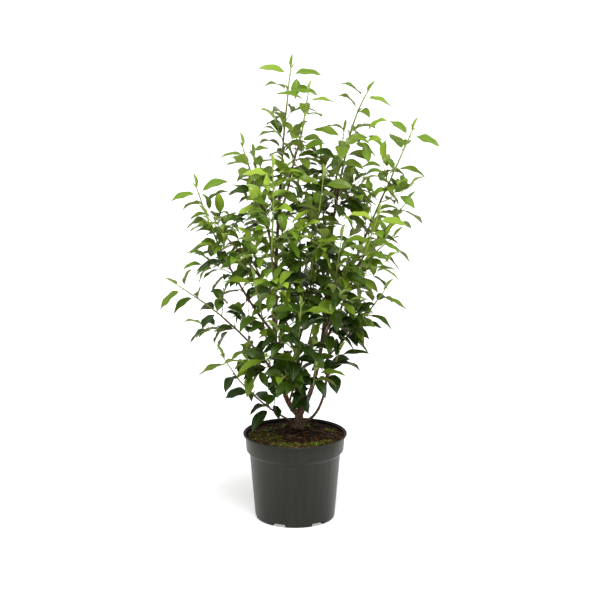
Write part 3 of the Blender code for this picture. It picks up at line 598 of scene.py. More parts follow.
def buildTwigs(shoots, skins):
    bm = bmesh.new()
    for shoot in shoots:
        points, radii = list(shoot["points"]), list(shoot["radii"])
        if shoot["kind"] == "stem":      # slimmer and a little crooked soon past its limb
            for i in range(len(points)):
                ease = min(1.0, 3.0 * i / len(points))
                share = i / len(points)
                least = (shootSizes["stout"] + shootSizes["brighter"] * shoot["bright"] +
                         shootSizes["lower"] * (1.0 - share)) * (1.0 - 0.40 * share ** 4)
                stout = max(radii[i] * (1.0 - shootSizes["slimming"]), least)
                radii[i] += (stout - radii[i]) * ease
                points[i] = points[i] + noise.noise_vector(points[i] * shootSizes["crookScale"]) * (
                    shootSizes["crook"] * ease)
        heading = (points[-1] - points[-2]).normalized()
        points.append(points[-1] + heading * radii[-1])
        radii.append(0.0)
        bright = shoot["bright"]
        if shoot["kind"] == "stem":
            slotOf = lambda share: 2 if share + bright * 0.5 > 0.95 else (1 if share + bright * 0.4 > 0.5 else 0)
            sides = shootSizes["stemSides"]
        else:
            height = shoot["share"] + bright
            slotOf = lambda share: 2 if share * 0.5 + height > 1.0 else (1 if share + height > 0.7 else 0)
            sides = shootSizes["twigSides"]

        def knuckles(angle, distance):
            ring = math.fmod(distance, 0.018) - 0.009
            return 0.22 * math.exp(-(ring / 0.0016) ** 2)

        wrapTube(bm, points, radii, sides, knuckles, slotOf)
    return finishPiece("twigs", meshOf(bm, "twigs"), skins, 70)


# Leaves

leafShape = {
    "length": 0.088,              # with its stalk
    "stalkShare": 0.16,
    "width": 0.0362,
    "thickness": 0.0007,
    "stalkRadius": 0.00080,
    "rows": 13,
    "ribShare": 0.038,            # half width of the pale midrib, as a share of the leaf's half width
    "widest": 0.92, "taper": 1.22,   # outline t^widest * (1 - t)^taper
    "bendSteps": 10,              # of the curve that places are tested with
    "curveSteps": 24,             # and of the curve that a leaf is laid along
}


def outlineAt(t):
    peak = leafShape["widest"] / (leafShape["widest"] + leafShape["taper"])
    top = peak ** leafShape["widest"] * (1.0 - peak) ** leafShape["taper"]
    return max(t, 0.0) ** leafShape["widest"] * max(1.0 - t, 0.0) ** leafShape["taper"] / top


def leafBlank():
    # A flat leaf: x across in half widths, y along, z -1 on the underside. It is bent later, leaf by leaf.
    bm = bmesh.new()
    rows = leafShape["rows"]
    rib = leafShape["ribShare"]
    top = bmesh.ops.create_grid(bm, x_segments=3, y_segments=rows, size=0.5)["verts"]
    topFaces = list(bm.faces)
    under = bmesh.ops.create_grid(bm, x_segments=2, y_segments=rows, size=0.5)["verts"]
    underFaces = [f for f in bm.faces if f not in set(topFaces)]
    for face in topFaces:
        face.material_index = 2 if abs(face.calc_center_median().x) < 0.05 else 0
    for face in underFaces:
        face.material_index = 1
    bmesh.ops.reverse_faces(bm, faces=underFaces)
    uv = bm.loops.layers.uv.verify()
    for verts, places in ((top, (-1.0, -rib, rib, 1.0)), (under, (-1.0, 0.0, 1.0))):
        for vert in verts:
            column = round((vert.co.x + 0.5) * (len(places) - 1))
            s = round((vert.co.y + 0.5) * rows) / rows
            t = 0.5 * s + 0.25 * (1.0 - math.cos(math.pi * s))      # rows stand closer at both ends
            a = places[column]
            for loop in vert.link_loops:
                loop[uv].uv = (a * 0.5 + 0.5, t)
            depth = -1.0 if len(places) == 3 and column == 1 and 0.0 < t < 1.0 else 0.0
            vert.co = Vector((a * outlineAt(t), t, depth))
    bmesh.ops.remove_doubles(bm, verts=bm.verts, dist=1e-5)
    return bm


def stalkBlank():
    # A three-sided stalk along y from 0 to 1, in units of its own radius across
    bm = bmesh.new()
    made = bmesh.ops.create_grid(bm, x_segments=3, y_segments=3, size=0.5)["verts"]
    for vert in made:
        angle = 2.0 * math.pi * (vert.co.x + 0.5)
        vert.co = Vector((math.cos(angle), vert.co.y + 0.5, math.sin(angle)))
    bmesh.ops.remove_doubles(bm, verts=bm.verts, dist=1e-5)
    bmesh.ops.holes_fill(bm, edges=[e for e in bm.edges if e.is_boundary], sides=4)
    bmesh.ops.recalc_face_normals(bm, faces=bm.faces)
    return bm


def readBlank(bm):
    uv = bm.loops.layers.uv.verify()
    bm.verts.index_update()
    verts = np.array([v.co[:] for v in bm.verts])
    faces = [[v.index for v in f.verts] for f in bm.faces]
    uvs = [tuple(loop[uv].uv) for f in bm.faces for loop in f.loops]
    slots = [f.material_index for f in bm.faces]
    bm.free()
    return verts, faces, uvs, slots


def leafProbe(midrib, facing, width):
    # The same kite as the solids' leaf, to test a place with
    middle = len(midrib) // 2
    along = (midrib[middle + 1] - midrib[middle - 1]).normalized()
    side = along.cross(facing).normalized()
    normal = side.cross(along).normalized()
    stalkEnd = midrib[2]
    corners = [stalkEnd, midrib[middle] - side * (width / 2.0), midrib[middle] + normal * 0.0012,
               midrib[middle] + side * (width / 2.0), midrib[middle] - normal * 0.0012, midrib[-1]]
    faces = [(1, 2, 5), (2, 3, 5), (3, 4, 5), (4, 1, 5), (2, 1, 0), (3, 2, 0), (4, 3, 0), (1, 4, 0)]
    return solidOf(corners, faces), corners


leaves = []


# The fork stands in sight from the front: no leaf hangs into these boxes
forkSight = ((Vector((-0.046, -0.300, 0.200)), Vector((-0.012, 0.030, 0.370))),
             (Vector((-0.012, -0.300, 0.200)), Vector((0.045, 0.030, 0.298))),
             (Vector((0.045, -0.300, 0.200)), Vector((0.085, 0.030, 0.366))))


def hidesFork(point):
    return any(all(low[k] < point[k] < high[k] for k in range(3)) for low, high in forkSight)


# Leaves turn their upper faces out of the crown, towards the nearer side
lightTurn = {"middle": 0.12, "depth": 0.10, "leaf": 0.14, "wing": 0.30}


def placeLeaf(base, setOff, facing, owners, look):
    midrib = swept(base, setOff, look["length"], up * -look["droop"], leafShape["bendSteps"])
    if any(hidesFork(point) for point in midrib):
        return False
    tree, corners = leafProbe(midrib, facing, look["width"])
    if not isFree(tree, corners, owners):
        return False
    take(tree, corners)
    leaves.append({"base": base, "setOff": setOff, "facing": facing, **look})
    return True


def towardLight(base):
    # The way in which a leaf turns its face aside: to the front in front, to the back behind
    share = max(-1.0, min(1.0, (lightTurn["middle"] - base.y) / lightTurn["depth"]))
    return Vector((0.0, -share, 0.0))


def tryLeaf(base, heading, angle, splay, owners, look):
    facing = up * growth["skyward"] + heading * growth["tipward"] + towardLight(base) * lightTurn["leaf"]
    facing.normalize()
    for turn in growth["leafTurns"]:
        setOff = (around(heading, angle + turn, splay) + up * growth["leafLift"]).normalized()
        if placeLeaf(base, setOff, facing, owners, look):
            return


def shadeOf(age, rng):
    # 0 is the deepest green and 5 the tenderest
    value = age + rng.gauss(0.0, 0.07)
    return sum(value > limit for limit in (0.20, 0.40, 0.62, 0.82, 0.97))


tips = {
    "room": {"stem": 0.024, "twig": 0.012, "spur": 0.004},   # metres without ordinary leaves at the end
    "wing": 0.92,                 # size of the pair that spreads below a leading tip
    "wingSplay": math.radians(66),
    "spike": {"stem": 0.50, "twig": 0.26},
    "last": {"twig": 0.74, "spur": 0.66},
    "budChance": {"stem": 0.45, "twig": 0.12, "spur": 0.0},      # of a small young leaf in a leaf's axil
    "budSizes": (0.13, 0.30), "budSplay": math.radians(30),
}


def leafLook(rng, size, age, droop, fold):
    return {"length": leafShape["length"] * size, "width": leafShape["width"] * size * rng.uniform(0.88, 1.12),
            "droop": droop, "fold": fold, "twist": rng.gauss(0.0, 0.22), "roll": rng.gauss(0.0, 0.30),
            "wave": rng.uniform(0.0008, 0.0026), "phase": rng.uniform(0.0, 6.28), "shade": shadeOf(age, rng),
            "bend": rng.uniform(-0.25, 0.25)}


def growLeaves(shoots):
    spacings = {"stem": shootSizes["stemLeafSpacing"], "twig": shootSizes["twigLeafSpacing"],
                "spur": shootSizes["spurLeafSpacing"]}
    for order, shoot in enumerate(shoots):
        rng = random.Random(growth["seed"] * 100 + order)
        points, kind, bright = shoot["points"], shoot["kind"], shoot["bright"]
        height = 1.0 if kind == "stem" else shoot["share"]
        scale = {"stem": 1.02, "twig": 0.87, "spur": 0.77}[kind] * (1.0 + 0.10 * min(1.0, max(0.0, shoot["full"] - 1.0)))
        sprayAge = bright * 0.54 + (0.0 if kind == "stem" else 0.14 * height) + rng.uniform(-0.06, 0.06)
        length = lengthOf(points)
        usable = 1.0 - tips["room"][kind] / length
        count = max(1, round(length * usable / spacings[kind] * max(0.8, shoot["full"])))
        angle = rng.uniform(0.0, 2.0 * math.pi)
        for i in range(count):
            share = (i + 0.6) / count * usable
            if kind == "stem":      # nearly in pairs, from the tip down
                share = usable * max(0.03, 1.0 - (i // 2 + 0.55 + 0.10 * (i % 2)) * 2.0 / count)
            base, heading = placeOn(points, share)
            size = rng.uniform(*growth["sizes"]) * scale * (1.0 - 0.15 * share)
            look = leafLook(rng, size, sprayAge + (0.14 + 0.28 * bright) * share,
                            rng.uniform(0.8, 1.5) - 0.3 * share * bright, rng.uniform(0.18, 0.55))
            tryLeaf(base, heading, angle, growth["leafSplay"], shoot["owners"], look)
            if rng.random() < tips["budChance"][kind]:
                bud = leafLook(rng, rng.uniform(*tips["budSizes"]), sprayAge + 0.55, 0.2, 0.8)
                bud.update(shade=max(2, bud["shade"]), wave=0.0)
                placeLeaf(base, around(heading, angle, tips["budSplay"]), up, shoot["owners"], bud)
            angle += growth["turn"]
        if kind == "stem":
            base, heading = placeOn(points, min(0.99, usable + 0.003 / length))
            across = Vector((1.0, rng.uniform(-0.5, 0.5), 0.0))
            across = (across - heading * across.dot(heading)).normalized()
            for side in (-1.0, 1.0):
                look = leafLook(rng, tips["wing"] * rng.uniform(0.9, 1.12), sprayAge + 0.30 + 0.20 * bright, 0.65, 0.30)
                look.update(roll=look["roll"] * 0.3)
                setOff = heading * math.cos(tips["wingSplay"]) + across * (side * math.sin(tips["wingSplay"]))
                facing = (up + towardLight(base) * lightTurn["wing"]).normalized()
                placeLeaf(base, setOff, facing, shoot["owners"], look)
        base, heading = placeOn(points, 0.985)
        if kind != "stem":
            look = leafLook(rng, tips["last"][kind] * rng.uniform(0.9, 1.1), sprayAge + 0.30 + 0.16 * bright, 0.8, 0.45)
            tryLeaf(base, heading, angle, math.radians(20), shoot["owners"], look)
        if kind in tips["spike"]:
            for share, splay in ((1.0, 7), (0.52, 26), (0.40, 32))[:3 if kind == "stem" else 1]:
                size = tips["spike"][kind] * share * rng.uniform(0.9, 1.1)
                look = leafLook(rng, size, sprayAge + 0.60, 0.1, 1.15)
                look.update(shade=max(3, look["shade"]), wave=0.0002, bend=0.0, fold=1.05)
                tryLeaf(base, heading, angle + 2.0, math.radians(splay), shoot["owners"], look)
                angle += growth["turn"]
    print("leaves:", len(leaves))


def bendBlank(chosen, verts, alongFrom, alongTo):
    # Lays a blank along each leaf's own curve. Returns the places, and the frames across and outwards.
    steps = leafShape["curveSteps"]
    base = np.array([leaf["base"][:] for leaf in chosen])
    setOff = np.array([leaf["setOff"][:] for leaf in chosen])
    facing = np.array([leaf["facing"][:] for leaf in chosen])
    get = lambda key: np.array([leaf[key] for leaf in chosen])
    length, droop, bend = get("length"), get("droop"), get("bend")
    sideways = np.cross(setOff, facing)
    sideways /= np.linalg.norm(sideways, axis=1, keepdims=True)
    shares = (np.arange(steps) + 0.5) / steps
    pull = np.zeros((len(chosen), steps, 3))
    pull[:, :, 2] = -droop[:, None] * shares
    pull += sideways[:, None, :] * (bend[:, None] * shares ** 2)[:, :, None]
    direction = setOff[:, None, :] + pull
    direction /= np.linalg.norm(direction, axis=2, keepdims=True)
    curve = np.concatenate([base[:, None, :], base[:, None, :] +
                            np.cumsum(direction * (length / steps)[:, None, None], axis=1)], axis=1)
    nodes = np.concatenate([direction[:, :1], (direction[:, :-1] + direction[:, 1:]) / 2.0, direction[:, -1:]], 1)
    along = np.clip((alongFrom + (alongTo - alongFrom) * verts[:, 1]) * steps, 0.0, steps - 1e-6)
    low = along.astype(int)
    part = (along - low)[None, :, None]
    point = curve[:, low] * (1.0 - part) + curve[:, low + 1] * part
    heading = nodes[:, low] * (1.0 - part) + nodes[:, low + 1] * part
    heading /= np.linalg.norm(heading, axis=2, keepdims=True)
    side = np.cross(heading, facing[:, None, :])
    side /= np.linalg.norm(side, axis=2, keepdims=True)
    normal = np.cross(side, heading)
    twist = (get("roll")[:, None, None] + get("twist")[:, None, None] * verts[None, :, 1:2])
    return point, side * np.cos(twist) + normal * np.sin(twist), normal * np.cos(twist) - side * np.sin(twist)


def bladePlaces(chosen, verts):
    point, side, normal = bendBlank(chosen, verts, leafShape["stalkShare"], 1.0)
    get = lambda key: np.array([leaf[key] for leaf in chosen])[:, None]
    outline = np.array([outlineAt(t) for t in verts[:, 1]])
    a = np.divide(verts[:, 0], outline, out=np.zeros(len(verts)), where=outline > 1e-6)
    reach = verts[None, :, 0] * get("width") / 2.0
    fold = get("fold")
    lift = np.abs(reach) * np.sin(fold) * (1.15 - 0.30 * np.abs(a)[None, :])
    ripple = np.sin(verts[None, :, 1] * 12.0 + get("phase") + np.sign(a)[None, :] * 0.9)
    lift += get("wave") * ripple * (np.abs(a) ** 2 * np.minimum(1.0, outline * 1.5))[None, :]
    lift += verts[None, :, 2] * leafShape["thickness"] * 1.3
    lift += np.where((verts[:, 2] == 0.0) & (np.abs(a) < 0.6), leafShape["thickness"] * 0.5, 0.0)[None, :]
    return point + side * (reach * np.cos(fold))[..., None] + normal * lift[..., None]


def stalkPlaces(chosen, verts):
    point, side, normal = bendBlank(chosen, verts, 0.0, leafShape["stalkShare"] + 0.05)
    radius = leafShape["stalkRadius"] * np.array([leaf["length"] / leafShape["length"] for leaf in chosen])
    radius = radius[:, None] * (1.15 - 0.45 * verts[None, :, 1])
    return point + side * (verts[None, :, 0] * radius)[..., None] + normal * (verts[None, :, 2] * radius)[..., None]


def joinBlanks(name, parts):
    # parts is [(places of n copies, blank faces, blank uvs, slots of each copy's faces)]
    verts, faces, uvs, slots, start = [], [], [], [], 0
    for places, blankFaces, blankUvs, copySlots in parts:
        copies, size = places.shape[:2]
        verts.append(places.reshape(-1, 3))
        for k in range(copies):
            offset = start + k * size
            faces.extend([offset + i for i in face] for face in blankFaces)
            uvs.extend(blankUvs)
            slots.extend(copySlots[k])
        start += copies * size
    mesh = bpy.data.meshes.new(name)
    mesh.from_pydata(np.concatenate(verts).tolist(), [], faces)
    mesh.uv_layers.new(name="UVMap").data.foreach_set("uv", np.array(uvs, dtype=np.float32).ravel())
    mesh.polygons.foreach_set("material_index", np.array(slots, dtype=np.int32))
    mesh.update()
    return mesh


# Underside colours are paler than the tops: partly the leaf's own paler underside, partly painted light standing in for
# light shining through the leaf
leafColours = {
    "mature_leaves": {"tops": ("#243c0a", "#3f590f", "#6c8521"), "undersWithPaintedGlow": ("#5a682f", "#6b7a36", "#7e8e40"),
                      "rib": "#5a6e2b", "stalk": "#74873a", "rough": 0.34, "sheen": 0.34},
    "young_leaves": {"tops": ("#709122", "#8cab2e", "#a2bd3c"), "undersWithPaintedGlow": ("#7f9544", "#90a74e", "#a2b95a"),
                     "rib": "#a9c057", "stalk": "#9cb24c", "rough": 0.35, "sheen": 0.40},
}


def buildLeaves():
    blade, stalk = readBlank(leafBlank()), readBlank(stalkBlank())
    made = []
    for group, (name, look) in enumerate(leafColours.items()):
        chosen = [leaf for leaf in leaves if leaf["shade"] // 3 == group]
        skins = [makeLeafSkin(name + "Top%d" % (i + 1), c, look["rough"], True, look["sheen"])
                 for i, c in enumerate(look["tops"])]
        # the underside skins carry painted light for light shining through the leaf, besides their own paler green
        skins += [makeLeafSkin(name + "Under%d" % (i + 1), c, look["rough"] + 0.16, False)
                  for i, c in enumerate(look["undersWithPaintedGlow"])]
        skins += [makeLeafSkin(name + "Midrib", look["rib"], look["rough"], False),
                  makeLeafSkin(name + "Stalk", look["stalk"], look["rough"] + 0.05, False)]
        bladeSlots = [[(leaf["shade"] % 3, 3 + leaf["shade"] % 3, 6)[s] for s in blade[3]] for leaf in chosen]
        stalkSlots = [[7] * len(stalk[1])] * len(chosen)
        mesh = joinBlanks(name, [(bladePlaces(chosen, blade[0]), blade[1], blade[2], bladeSlots),
                                 (stalkPlaces(chosen, stalk[0]), stalk[1], stalk[2], stalkSlots)])
        piece = finishPiece(name, mesh, skins, 65)
        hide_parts(*[n for n in nodeNames if n.endswith("_leaves")])
        made.append(piece)
    return made


# Pot

pot = {
    "height": 0.235, "wall": 0.0022, "footing": 0.012, "baseRadius": 0.1080, "neckRadius": 0.1225,
    "collarFoot": 0.1315, "collarTop": 0.1345, "rimRadius": 0.140, "mouth": 0.1370,
    "collarHeight": 0.045, "ledgeDrop": 0.012, "ledgeSteps": 8, "lip": 0.0045, "corner": 0.0060, "cornerSteps": 9,
    "notches": 6, "notchWidth": 0.039, "notchHeight": 0.009, "notchDepth": 0.030, "notchTurn": 5.5,
    "segments": 160, "seamAngle": -41.0, "seamWidth": 0.0024, "seamHeight": -0.0008,
}


def buildPot(plastic):
    neck = pot["height"] - pot["collarHeight"] - pot["ledgeDrop"]
    shoulder = pot["height"] - pot["collarHeight"]
    lip = pot["height"] - pot["lip"]
    wall = pot["wall"]
    profile = [(0.0, 0.0)]
    for i in range(pot["cornerSteps"] + 1):
        angle = math.pi / 2.0 * i / pot["cornerSteps"]
        profile.append((pot["baseRadius"] - pot["corner"] * (1.0 - math.sin(angle)),
                        pot["corner"] * (1.0 - math.cos(angle))))
    for i in range(pot["ledgeSteps"] + 1):      # the ledge under the collar is a soft double curve
        share = i / pot["ledgeSteps"]
        swell = share * (0.75 + 0.25 * share * (3.0 - 2.0 * share))
        profile.append((pot["neckRadius"] + (pot["collarFoot"] - pot["neckRadius"]) * swell,
                        neck + pot["ledgeDrop"] * share))
    profile += [(pot["collarTop"], lip - 0.0006), (pot["rimRadius"] - 0.0004, lip),
               (pot["rimRadius"], lip + 0.0012), (pot["rimRadius"], pot["height"] - 0.0010),
               (pot["rimRadius"] - 0.0008, pot["height"]), (pot["mouth"] + 0.0006, pot["height"]),
               (pot["mouth"], pot["height"] - 0.0006), (pot["collarTop"] - wall, lip + 0.0006),
               (pot["collarTop"] - wall - 0.0003, lip - 0.0010),
               (pot["collarFoot"] - wall, shoulder),
               (pot["neckRadius"] - wall, neck), (pot["baseRadius"] - wall, pot["footing"]), (0.0, pot["footing"])]
    bm = bmesh.new()
    verts = [bm.verts.new((r, 0.0, z)) for r, z in profile]
    edges = [bm.edges.new(pair) for pair in zip(verts, verts[1:])]
    bmesh.ops.spin(bm, geom=verts + edges, cent=(0, 0, 0), axis=(0, 0, 1), angle=2.0 * math.pi,
                   steps=pot["segments"], use_merge=True)
    bmesh.ops.remove_doubles(bm, verts=bm.verts, dist=1e-6)
    # The mould's parting line: cut a narrow strip into the outer wall and sink its middle into a groove
    angle = math.radians(pot["seamAngle"])
    outward = Vector((math.cos(angle), math.sin(angle), 0.0))
    across = Vector((-outward.y, outward.x, 0.0))
    for shift in (-1.0, 0.0, 1.0):
        near = [f for f in bm.faces if f.calc_center_median().dot(outward) > 0.09 and
                abs(f.calc_center_median().dot(across)) < 0.01]
        geom = near + list({e for f in near for e in f.edges}) + list({v for f in near for v in f.verts})
        bmesh.ops.bisect_plane(bm, geom=geom, plane_co=across * (shift * pot["seamWidth"] / 2.0),
                               plane_no=across, dist=1e-6)
    for vert in bm.verts:
        onLine = abs(vert.co.dot(across)) < 1e-5 and vert.co.dot(outward) > 0.09
        radius = math.hypot(vert.co.x, vert.co.y)
        outer = radius > pot["baseRadius"] + (pot["neckRadius"] - pot["baseRadius"]) * vert.co.z / neck - 0.0008
        if onLine and outer and pot["corner"] < vert.co.z < lip:
            vert.co += outward * pot["seamHeight"]
    bmesh.ops.recalc_face_normals(bm, faces=bm.faces)
    mesh = meshOf(bm, "nursery_pot")
    piece = finishPiece("nursery_pot", mesh, [plastic], 32)
    cutters = bmesh.new()
    for k in range(pot["notches"]):
        turn = Matrix.Rotation(math.radians(pot["notchTurn"] + 360.0 * k / pot["notches"]), 4, "Z")
        size = Matrix.Diagonal((2.0 * pot["notchDepth"], pot["notchWidth"], 2.0 * pot["notchHeight"], 1.0))
        made = bmesh.ops.create_cube(cutters, size=1.0,
                                     matrix=turn @ Matrix.Translation((pot["baseRadius"], 0.0, 0.0)) @ size)
        upper = [e for e in {e for v in made["verts"] for e in v.link_edges}
                 if all(v.co.z > 0.0 for v in e.verts) and abs((e.verts[0].co - e.verts[1].co).dot(
                     turn @ Vector((0.0, 1.0, 0.0)))) < 0.001]
        bmesh.ops.bevel(cutters, geom=upper, offset=0.003, segments=4, profile=0.5, affect="EDGES", material=-1)
    cutter = bpy.data.objects.new("notch_cutter", meshOf(cutters, "notch_cutter"))
    bpy.context.scene.collection.objects.link(cutter)
    cut = piece.modifiers.new("notches", "BOOLEAN")
    cut.operation, cut.solver, cut.object = "DIFFERENCE", "EXACT", cutter
    graph = bpy.context.evaluated_depsgraph_get()
    done = bpy.data.meshes.new_from_object(piece.evaluated_get(graph))
    piece.modifiers.clear()
    piece.data = done
    bpy.data.objects.remove(cutter)
    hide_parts("pot")
    return piece


# Compost, with crumbs, moss, seedlings and dead twigs

soil = {
    "edge": 0.2272, "top": 0.238, "mounding": 0.7, "radius": 0.1313, "rings": 44, "sides": 132,
    "clod": 0.0036, "crumbs": 2400, "crumbSize": (0.0008, 0.0030), "chips": 170, "moss": 2600,
}


def soilHeight(x, y):
    # The mound rises to the trunk's foot, and clods stand in it
    fromTrunk = math.hypot(x - trunk["foot"].x, y - trunk["foot"].y)
    share = max(0.0, min(1.0, 1.0 - math.hypot(x, y) / soil["radius"]))
    near = max(0.0, 1.0 - fromTrunk / 0.11)
    mound = soil["edge"] + (soil["top"] - soil["edge"]) * (0.55 * min(1.0, share * 1.6) ** soil["mounding"] + 0.45 * near)
    bumps = noise.noise(Vector((x, y, 0.3)) * 38.0) + 0.6 * noise.noise(Vector((x, y, 1.7)) * 95.0)
    return mound + soil["clod"] * bumps * min(1.0, fromTrunk / 0.03) - 0.002


def buildCompost(material):
    bm = bmesh.new()
    neck = pot["height"] - pot["collarHeight"] - pot["ledgeDrop"]
    shoulder = pot["height"] - pot["collarHeight"]
    wall = pot["wall"] + 0.0004
    outer = [(0.0, pot["footing"] + 0.0003), (pot["baseRadius"] - wall, pot["footing"] + 0.0003),
             (pot["neckRadius"] - wall, neck), (pot["collarFoot"] - wall, shoulder)]
    rim = soil["radius"]
    inner = [(rim * (1.0 - i / soil["rings"]), soil["edge"]) for i in range(soil["rings"] + 1)]
    verts = [bm.verts.new((r, 0.0, z)) for r, z in outer + inner]
    edges = [bm.edges.new(pair) for pair in zip(verts, verts[1:])]
    bmesh.ops.spin(bm, geom=verts + edges, cent=(0, 0, 0), axis=(0, 0, 1), angle=2.0 * math.pi,
                   steps=soil["sides"], use_merge=True)
    bmesh.ops.remove_doubles(bm, verts=bm.verts, dist=1e-6)
    for vert in bm.verts:
        if vert.co.z > shoulder + 0.001:
            vert.co.z = soilHeight(vert.co.x, vert.co.y)
    bmesh.ops.recalc_face_normals(bm, faces=bm.faces)
    piece = finishPiece("compost", meshOf(bm, "compost"), [material], 60)
    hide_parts("soil")
    return piece


def scatterLumps(name, places, skins, stretch):
    # Small uneven lumps from one rounded stone: places are (x, y, size, skin)
    bm = bmesh.new()
    bmesh.ops.create_icosphere(bm, subdivisions=1, radius=1.0)
    verts, faces, uvs, slots = readBlank(bm)
    rng = random.Random(name)
    copies, chosen = [], []
    for x, y, size, skin in places:
        turn = Matrix.Rotation(rng.uniform(0.0, 6.28), 3, "Z") @ Matrix.Rotation(rng.uniform(-0.6, 0.6), 3, "X")
        scale = np.array([size * rng.uniform(*stretch), size, size * rng.uniform(0.45, 0.8)])
        lump = verts * (1.0 + np.array([rng.uniform(-0.28, 0.28) for v in verts])[:, None]) * scale
        lump = lump @ np.array(turn).T + np.array([x, y, soilHeight(x, y) + size * 0.15])
        copies.append(lump)
        chosen.append([skin] * len(faces))
    mesh = joinBlanks(name, [(np.array(copies), faces, uvs, chosen)])
    return finishPiece(name, mesh, skins, 40)


def onSoil(rng, centre=None, spread=0.0):
    while True:
        if centre is None:
            angle, radius = rng.uniform(0.0, 2.0 * math.pi), 0.1285 * math.sqrt(rng.random())
            x, y = math.cos(angle) * radius, math.sin(angle) * radius
        else:
            x, y = centre[0] + rng.gauss(0.0, spread), centre[1] + rng.gauss(0.0, spread * 0.6)
        clear = math.hypot(x - trunk["foot"].x, y - trunk["foot"].y) > 0.018
        if math.hypot(x, y) < 0.1275 and clear:
            return x, y


# Cushions of moss as x, y and spread, most of them at the left and along the front as in the photo
mossPatches = ((-0.100, 0.010, 0.018), (-0.095, -0.035, 0.016), (-0.075, 0.045, 0.018), (-0.080, -0.012, 0.020),
               (-0.060, -0.060, 0.016), (-0.045, -0.082, 0.011), (-0.013, -0.090, 0.010), (0.008, -0.095, 0.008), (0.036, -0.090, 0.009),
               (0.062, -0.080, 0.010), (0.088, -0.058, 0.009), (-0.040, 0.060, 0.009), (0.032, 0.055, 0.006),
               (-0.050, -0.035, 0.009), (0.090, 0.040, 0.009), (-0.105, -0.010, 0.008))


def dressCompost():
    rng = random.Random(5)
    crumbs = [(*onSoil(rng), rng.uniform(*soil["crumbSize"]), rng.choice((0, 0, 1, 1, 2))) for i in range(soil["crumbs"])]
    tones = []
    for name, colour in (("darkCrumb", "#1b110a"), ("brownCrumb", "#342213"), ("rustyCrumb", "#5e3d24")):
        tones.append(makeTwigSkin(name, colour, 0.08))
    scatterLumps("compost_crumbs", crumbs, tones, (0.8, 1.5))
    chips = [(*onSoil(rng), rng.uniform(0.0010, 0.0022), rng.choice((0, 1))) for i in range(soil["chips"])]
    barkTones = [makeTwigSkin("reddishBarkChip", "#6b3a24", 0.1), makeTwigSkin("strawChip", "#8d6d4a", 0.1)]
    scatterLumps("bark_chips", chips, barkTones, (2.5, 5.5))
    moss = []
    for i in range(soil["moss"]):
        x, y, spread = mossPatches[i % len(mossPatches)]
        moss.append((*onSoil(rng, (x, y), spread), rng.uniform(0.0009, 0.0024), rng.choice((0, 0, 1, 1, 2))))
    mossTones = [makeTwigSkin("deepMoss", "#45461a", 0.08), makeTwigSkin("oliveMoss", "#666522", 0.08),
                 makeTwigSkin("paleMoss", "#8e9232", 0.08)]
    scatterLumps("moss", moss, mossTones, (0.8, 1.3))
    bm = bmesh.new()
    for i in range(26):
        x, y = onSoil(rng)
        angle = rng.uniform(0.0, 2.0 * math.pi)
        start = Vector((x, y, soilHeight(x, y) + 0.0012))
        points = swept(start, Vector((math.cos(angle), math.sin(angle), rng.uniform(0.0, 0.25))),
                       rng.uniform(0.010, 0.032), Vector((-math.sin(angle), math.cos(angle), 0.0)) * rng.uniform(-0.5, 0.5), 5)
        points = [p for p in points if math.hypot(p.x, p.y) < 0.1285]
        if len(points) > 2:
            wrapTube(bm, points, [0.0006] * (len(points) - 1) + [0.0002], 5)
    finishPiece("dead_twigs", meshOf(bm, "dead_twigs"), [makeTwigSkin("dryTwig", "#8a6547")], 60)


seedlingPatches = ((-0.028, 0.050), (0.032, 0.050), (-0.034, -0.100), (0.050, -0.086), (-0.020, -0.108),
                   (0.058, -0.092), (-0.070, 0.030))


def growSeedlings():
    rng = random.Random(9)
    for cx, cy in seedlingPatches:
        for i in range(3):
            x, y = onSoil(rng, (cx, cy), 0.006)
            base = Vector((x, y, soilHeight(x, y)))
            for k in range(3):
                look = {"length": rng.uniform(0.006, 0.012), "width": rng.uniform(0.0024, 0.0038), "droop": 0.9,
                        "fold": 0.3, "twist": 0.0, "roll": 0.0, "wave": 0.0002, "phase": 0.0, "shade": rng.choice((2, 3, 4)),
                        "bend": 0.0}
                setOff = around(up, rng.uniform(0.0, 6.28), math.radians(rng.uniform(20, 55)))
                leaves.append({"base": base, "setOff": setOff, "facing": up, **look})


# Building

bark = makeBark()
routes = limbRoutes()
buildLimbs(routes, bark)
shoots = growShoots(routes)
buildTwigs(shoots, [makeTwigSkin("brownShoot", "#5a3d28"), makeTwigSkin("oliveShoot", "#757537"),
                    makeTwigSkin("greenShoot", "#8fa043")])
growLeaves(shoots)
growSeedlings()
buildLeaves()
buildPot(makePotPlastic())
buildCompost(makeCompost())
dressCompost()


# Floor, light and camera

studio = {"floor": "#f6f6f6", "glow": 0.40, "world": 0.46, "sun": 2.7, "sunAngle": 34.0, "strips": (3.0, 0.5),
          "from": (0.3, -1.5, 3.9)}


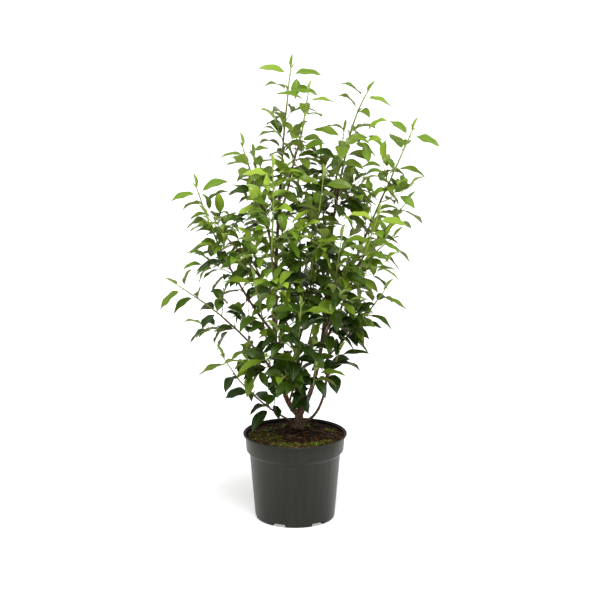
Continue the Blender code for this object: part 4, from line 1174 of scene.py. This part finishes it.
def buildStudio():
    bm = bmesh.new()
    bmesh.ops.create_grid(bm, x_segments=2, y_segments=2, size=60.0)
    mesh = meshOf(bm, "floor")
    floor = bpy.data.objects.new("floor", mesh)
    bpy.context.scene.collection.objects.link(floor)
    material, shader = newMaterial("paleFloor", Base_Color=hexColour(studio["floor"]), Roughness=0.9,
                                   Emission_Color=(1.0, 1.0, 1.0, 1.0), Emission_Strength=studio["glow"])
    shader.inputs["Specular IOR Level"].default_value = 0.1
    mesh.materials.append(material)
    world = bpy.data.worlds.new("studio")
    bpy.context.scene.world = world
    world.use_nodes = True
    world.node_tree.nodes["Background"].inputs["Color"].default_value = (1.0, 1.0, 1.0, 1.0)
    world.node_tree.nodes["Background"].inputs["Strength"].default_value = studio["world"]
    data = bpy.data.lights.new("softbox", "SUN")
    data.energy, data.angle = studio["sun"], math.radians(studio["sunAngle"])
    lamp = bpy.data.objects.new("softbox", data)
    bpy.context.scene.collection.objects.link(lamp)
    lamp.location = studio["from"]
    lamp.rotation_mode = "QUATERNION"
    lamp.rotation_quaternion = (-Vector(studio["from"])).to_track_quat("-Z", "Y")
    sides = (("strip_left", (-2.05, -2.19, 0.9)), ("strip_right", (2.90, 0.78, 0.9)))
    for (name, place), energy in zip(sides, studio["strips"]):
        data = bpy.data.lights.new(name, "AREA")      # tall strips that draw soft upright lights on the pot
        data.shape, data.size, data.size_y, data.energy = "RECTANGLE", 0.35, 2.2, energy
        lamp = bpy.data.objects.new(name, data)
        bpy.context.scene.collection.objects.link(lamp)
        lamp.location = place
        lamp.visible_camera = False
        lamp.rotation_euler = (math.pi / 2.0, 0.0, math.atan2(place[0], -place[1]))


view = {"place": (0.0027, -4.6, 1.645), "tilt": 12.656, "field": 18.917}


def placeCamera():
    data = bpy.data.cameras.new("camera")
    data.sensor_width = data.sensor_height = 36.0
    data.lens = 18.0 / math.tan(math.radians(view["field"]) / 2.0)
    camera = bpy.data.objects.new("camera", data)
    bpy.context.scene.collection.objects.link(camera)
    camera.location = view["place"]
    camera.rotation_euler = (math.radians(90.0 - view["tilt"]), 0.0, 0.0)
    bpy.context.scene.camera = camera
    bpy.context.scene.view_settings.view_transform = "Standard"


buildStudio()
placeCamera()
